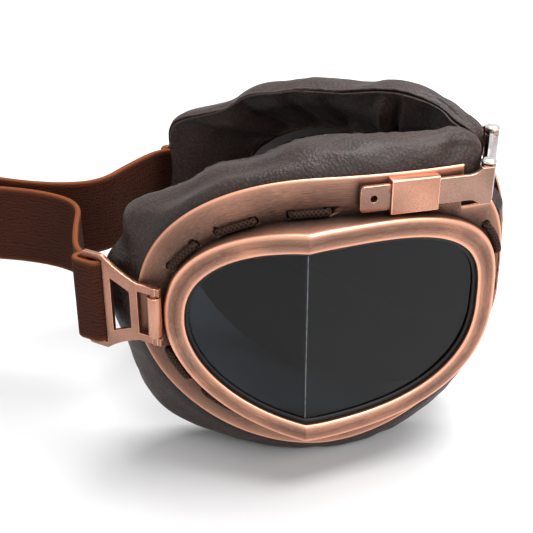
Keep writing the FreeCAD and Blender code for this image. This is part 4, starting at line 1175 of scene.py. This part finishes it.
def make_band(side):
    """Half the band: a closed loop round the buckle's bar, and three lengths along its route that ride on no body."""
    arc = np.linspace(-math.pi / 2, math.pi / 2, 16)
    near_arc = from_buckle(LOOP_NEAR - LOOP_LIFT * np.cos(arc), LOOP_LIFT * np.sin(arc))
    far_arc = from_buckle(LOOP_FAR + LOOP_LIFT * np.cos(arc), -LOOP_LIFT * np.sin(arc))
    side_run = np.linspace(LOOP_NEAR, LOOP_FAR, 12)[1:-1]
    loop = np.concatenate((near_arc, from_buckle(side_run, np.full(10, LOOP_LIFT)), far_arc,
                           from_buckle(side_run[::-1], np.full(10, -LOOP_LIFT))))
    wrap = band_strip(f"{side}_band_loop", loop, side, closed=True)
    finish_piece(wrap, f"{side}_buckle", "elastic_band", ELASTIC, "head_band")
    route = band_route()
    far = run_lengths(route)
    cuts = np.searchsorted(far, BAND_CUTS).tolist() + [len(route) - 1]
    for k, name in enumerate(("band_root", "band_turn", "band_back")):
        start, end = cuts[k:k + 2]
        piece = band_strip(f"{side}_{name}", route[start:end + 1], side)
        piece.data.materials.append(ELASTIC)
        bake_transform(piece)
        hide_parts("head_band")
    return np.diff(far[cuts])


for side in SIDES:
    print(side, "band lengths in mm:", make_band(side).round(1))

# %% [markdown]
# ## Studio
# A pale floor, one large soft lamp overhead and two weaker ones at the sides give the flat light of a
# catalogue picture. The world could light the whole scene, but then nothing would have a shadow. So it
# is white only where the camera sees it, directly, in metal or through glass, and dim as light, and the
# floor fades into it away from the object.

# %% Floor and lights
FLOOR, WORLD_FILL, AIM = 6.0, 0.2, (0.03, 0.0, 0.04)
# metres from the middle at which the floor starts to fade to white paper, and where it is all white
FADE = (0.28, 0.75)


def seen_ray(tree):
    """1 for what the camera sees, directly, in metal or through glass, and 0 for the light on the object."""
    path = add(tree, "LightPath")
    seen = math_node(tree, "MAXIMUM", path.outputs["Is Camera Ray"], path.outputs["Is Glossy Ray"])
    return math_node(tree, "MAXIMUM", seen, path.outputs["Is Transmission Ray"])


def make_floor():
    """A wide flat grid at Z = 0, which fades to white away from the object."""
    line = np.linspace(-FLOOR / 2, FLOOR / 2, 5)
    points = np.stack((*np.meshgrid(line, line, indexing="ij"), np.zeros((5, 5))), -1)
    obj = grid_object("floor", points, around=False, section=False)
    material, tree, shader = new_material("pale_floor", Base_Color=linear(236, 236, 237), Roughness=0.55)
    away = add(tree, "VectorMath", {"operation": "LENGTH"}, Vector=add(tree, "TexCoord").outputs["Object"])
    far = times(tree, ramp(tree, away.outputs["Value"], *FADE), seen_ray(tree))
    paper = add(tree, "Emission", Strength=1.0)
    blend = tree.nodes.new("ShaderNodeMixShader")
    for socket, value in zip(blend.inputs, (far, shader.outputs[0], paper.outputs[0])):
        tree.links.new(value, socket)
    tree.links.new(blend.outputs[0], tree.nodes["Material Output"].inputs["Surface"])
    obj.data.materials.append(material)


def make_lamp(name, place, size, power):
    """A soft rectangular lamp that looks at the middle of the goggles."""
    lamp = bpy.data.lights.new(name, "AREA")
    lamp.shape = "RECTANGLE"
    lamp.size, lamp.size_y = size
    lamp.energy = power
    obj = place_object(name, lamp)
    obj.location = place
    obj.rotation_euler = (Vector(AIM) - Vector(place)).to_track_quat("-Z", "Y").to_euler()


def make_world():
    """White to the camera and in metal and glass, and a soft fill as light on the rest."""
    world = bpy.data.worlds.new("studio")
    scene.world = world
    world.use_nodes = True
    tree = world.node_tree
    background = tree.nodes["Background"]
    tree.links.new(ramp(tree, seen_ray(tree), 0.0, 1.0, WORLD_FILL, 1.0), background.inputs["Strength"])
    background.inputs["Color"].default_value = (1, 1, 1, 1)


make_floor()
make_lamp("overhead", (0.22, 0.16, 0.85), (0.8, 0.6), 12.5)
make_lamp("key", (0.6, -0.5, 0.6), (0.45, 0.45), 4.2)
make_lamp("fill", (-0.6, -0.55, 0.5), (0.4, 0.4), 0.8)
make_world()
print("lamps:", len(bpy.data.lights))

# %% [markdown]
# ## Camera
# The camera looks down on the right eyepiece at 29 degrees, 13 degrees round from square on.

# %% Camera
CAMERA_PLACE = (0.0965, -0.2672, 0.1980)
CAMERA_TURN, CAMERA_DIP = math.radians(13.0), math.radians(29.0)
FOCAL_PIXELS, FRAME_PIXELS = 1045.0, 533.0
lens = bpy.data.cameras.new("camera")
lens.sensor_width = 36.0
lens.lens = lens.sensor_width * FOCAL_PIXELS / FRAME_PIXELS
camera = place_object("camera", lens)
camera.location = CAMERA_PLACE
camera.rotation_euler = (math.pi / 2 - CAMERA_DIP, 0.0, CAMERA_TURN)
scene.camera = camera
scene.view_settings.view_transform = "Standard"
print("camera at", CAMERA_PLACE)
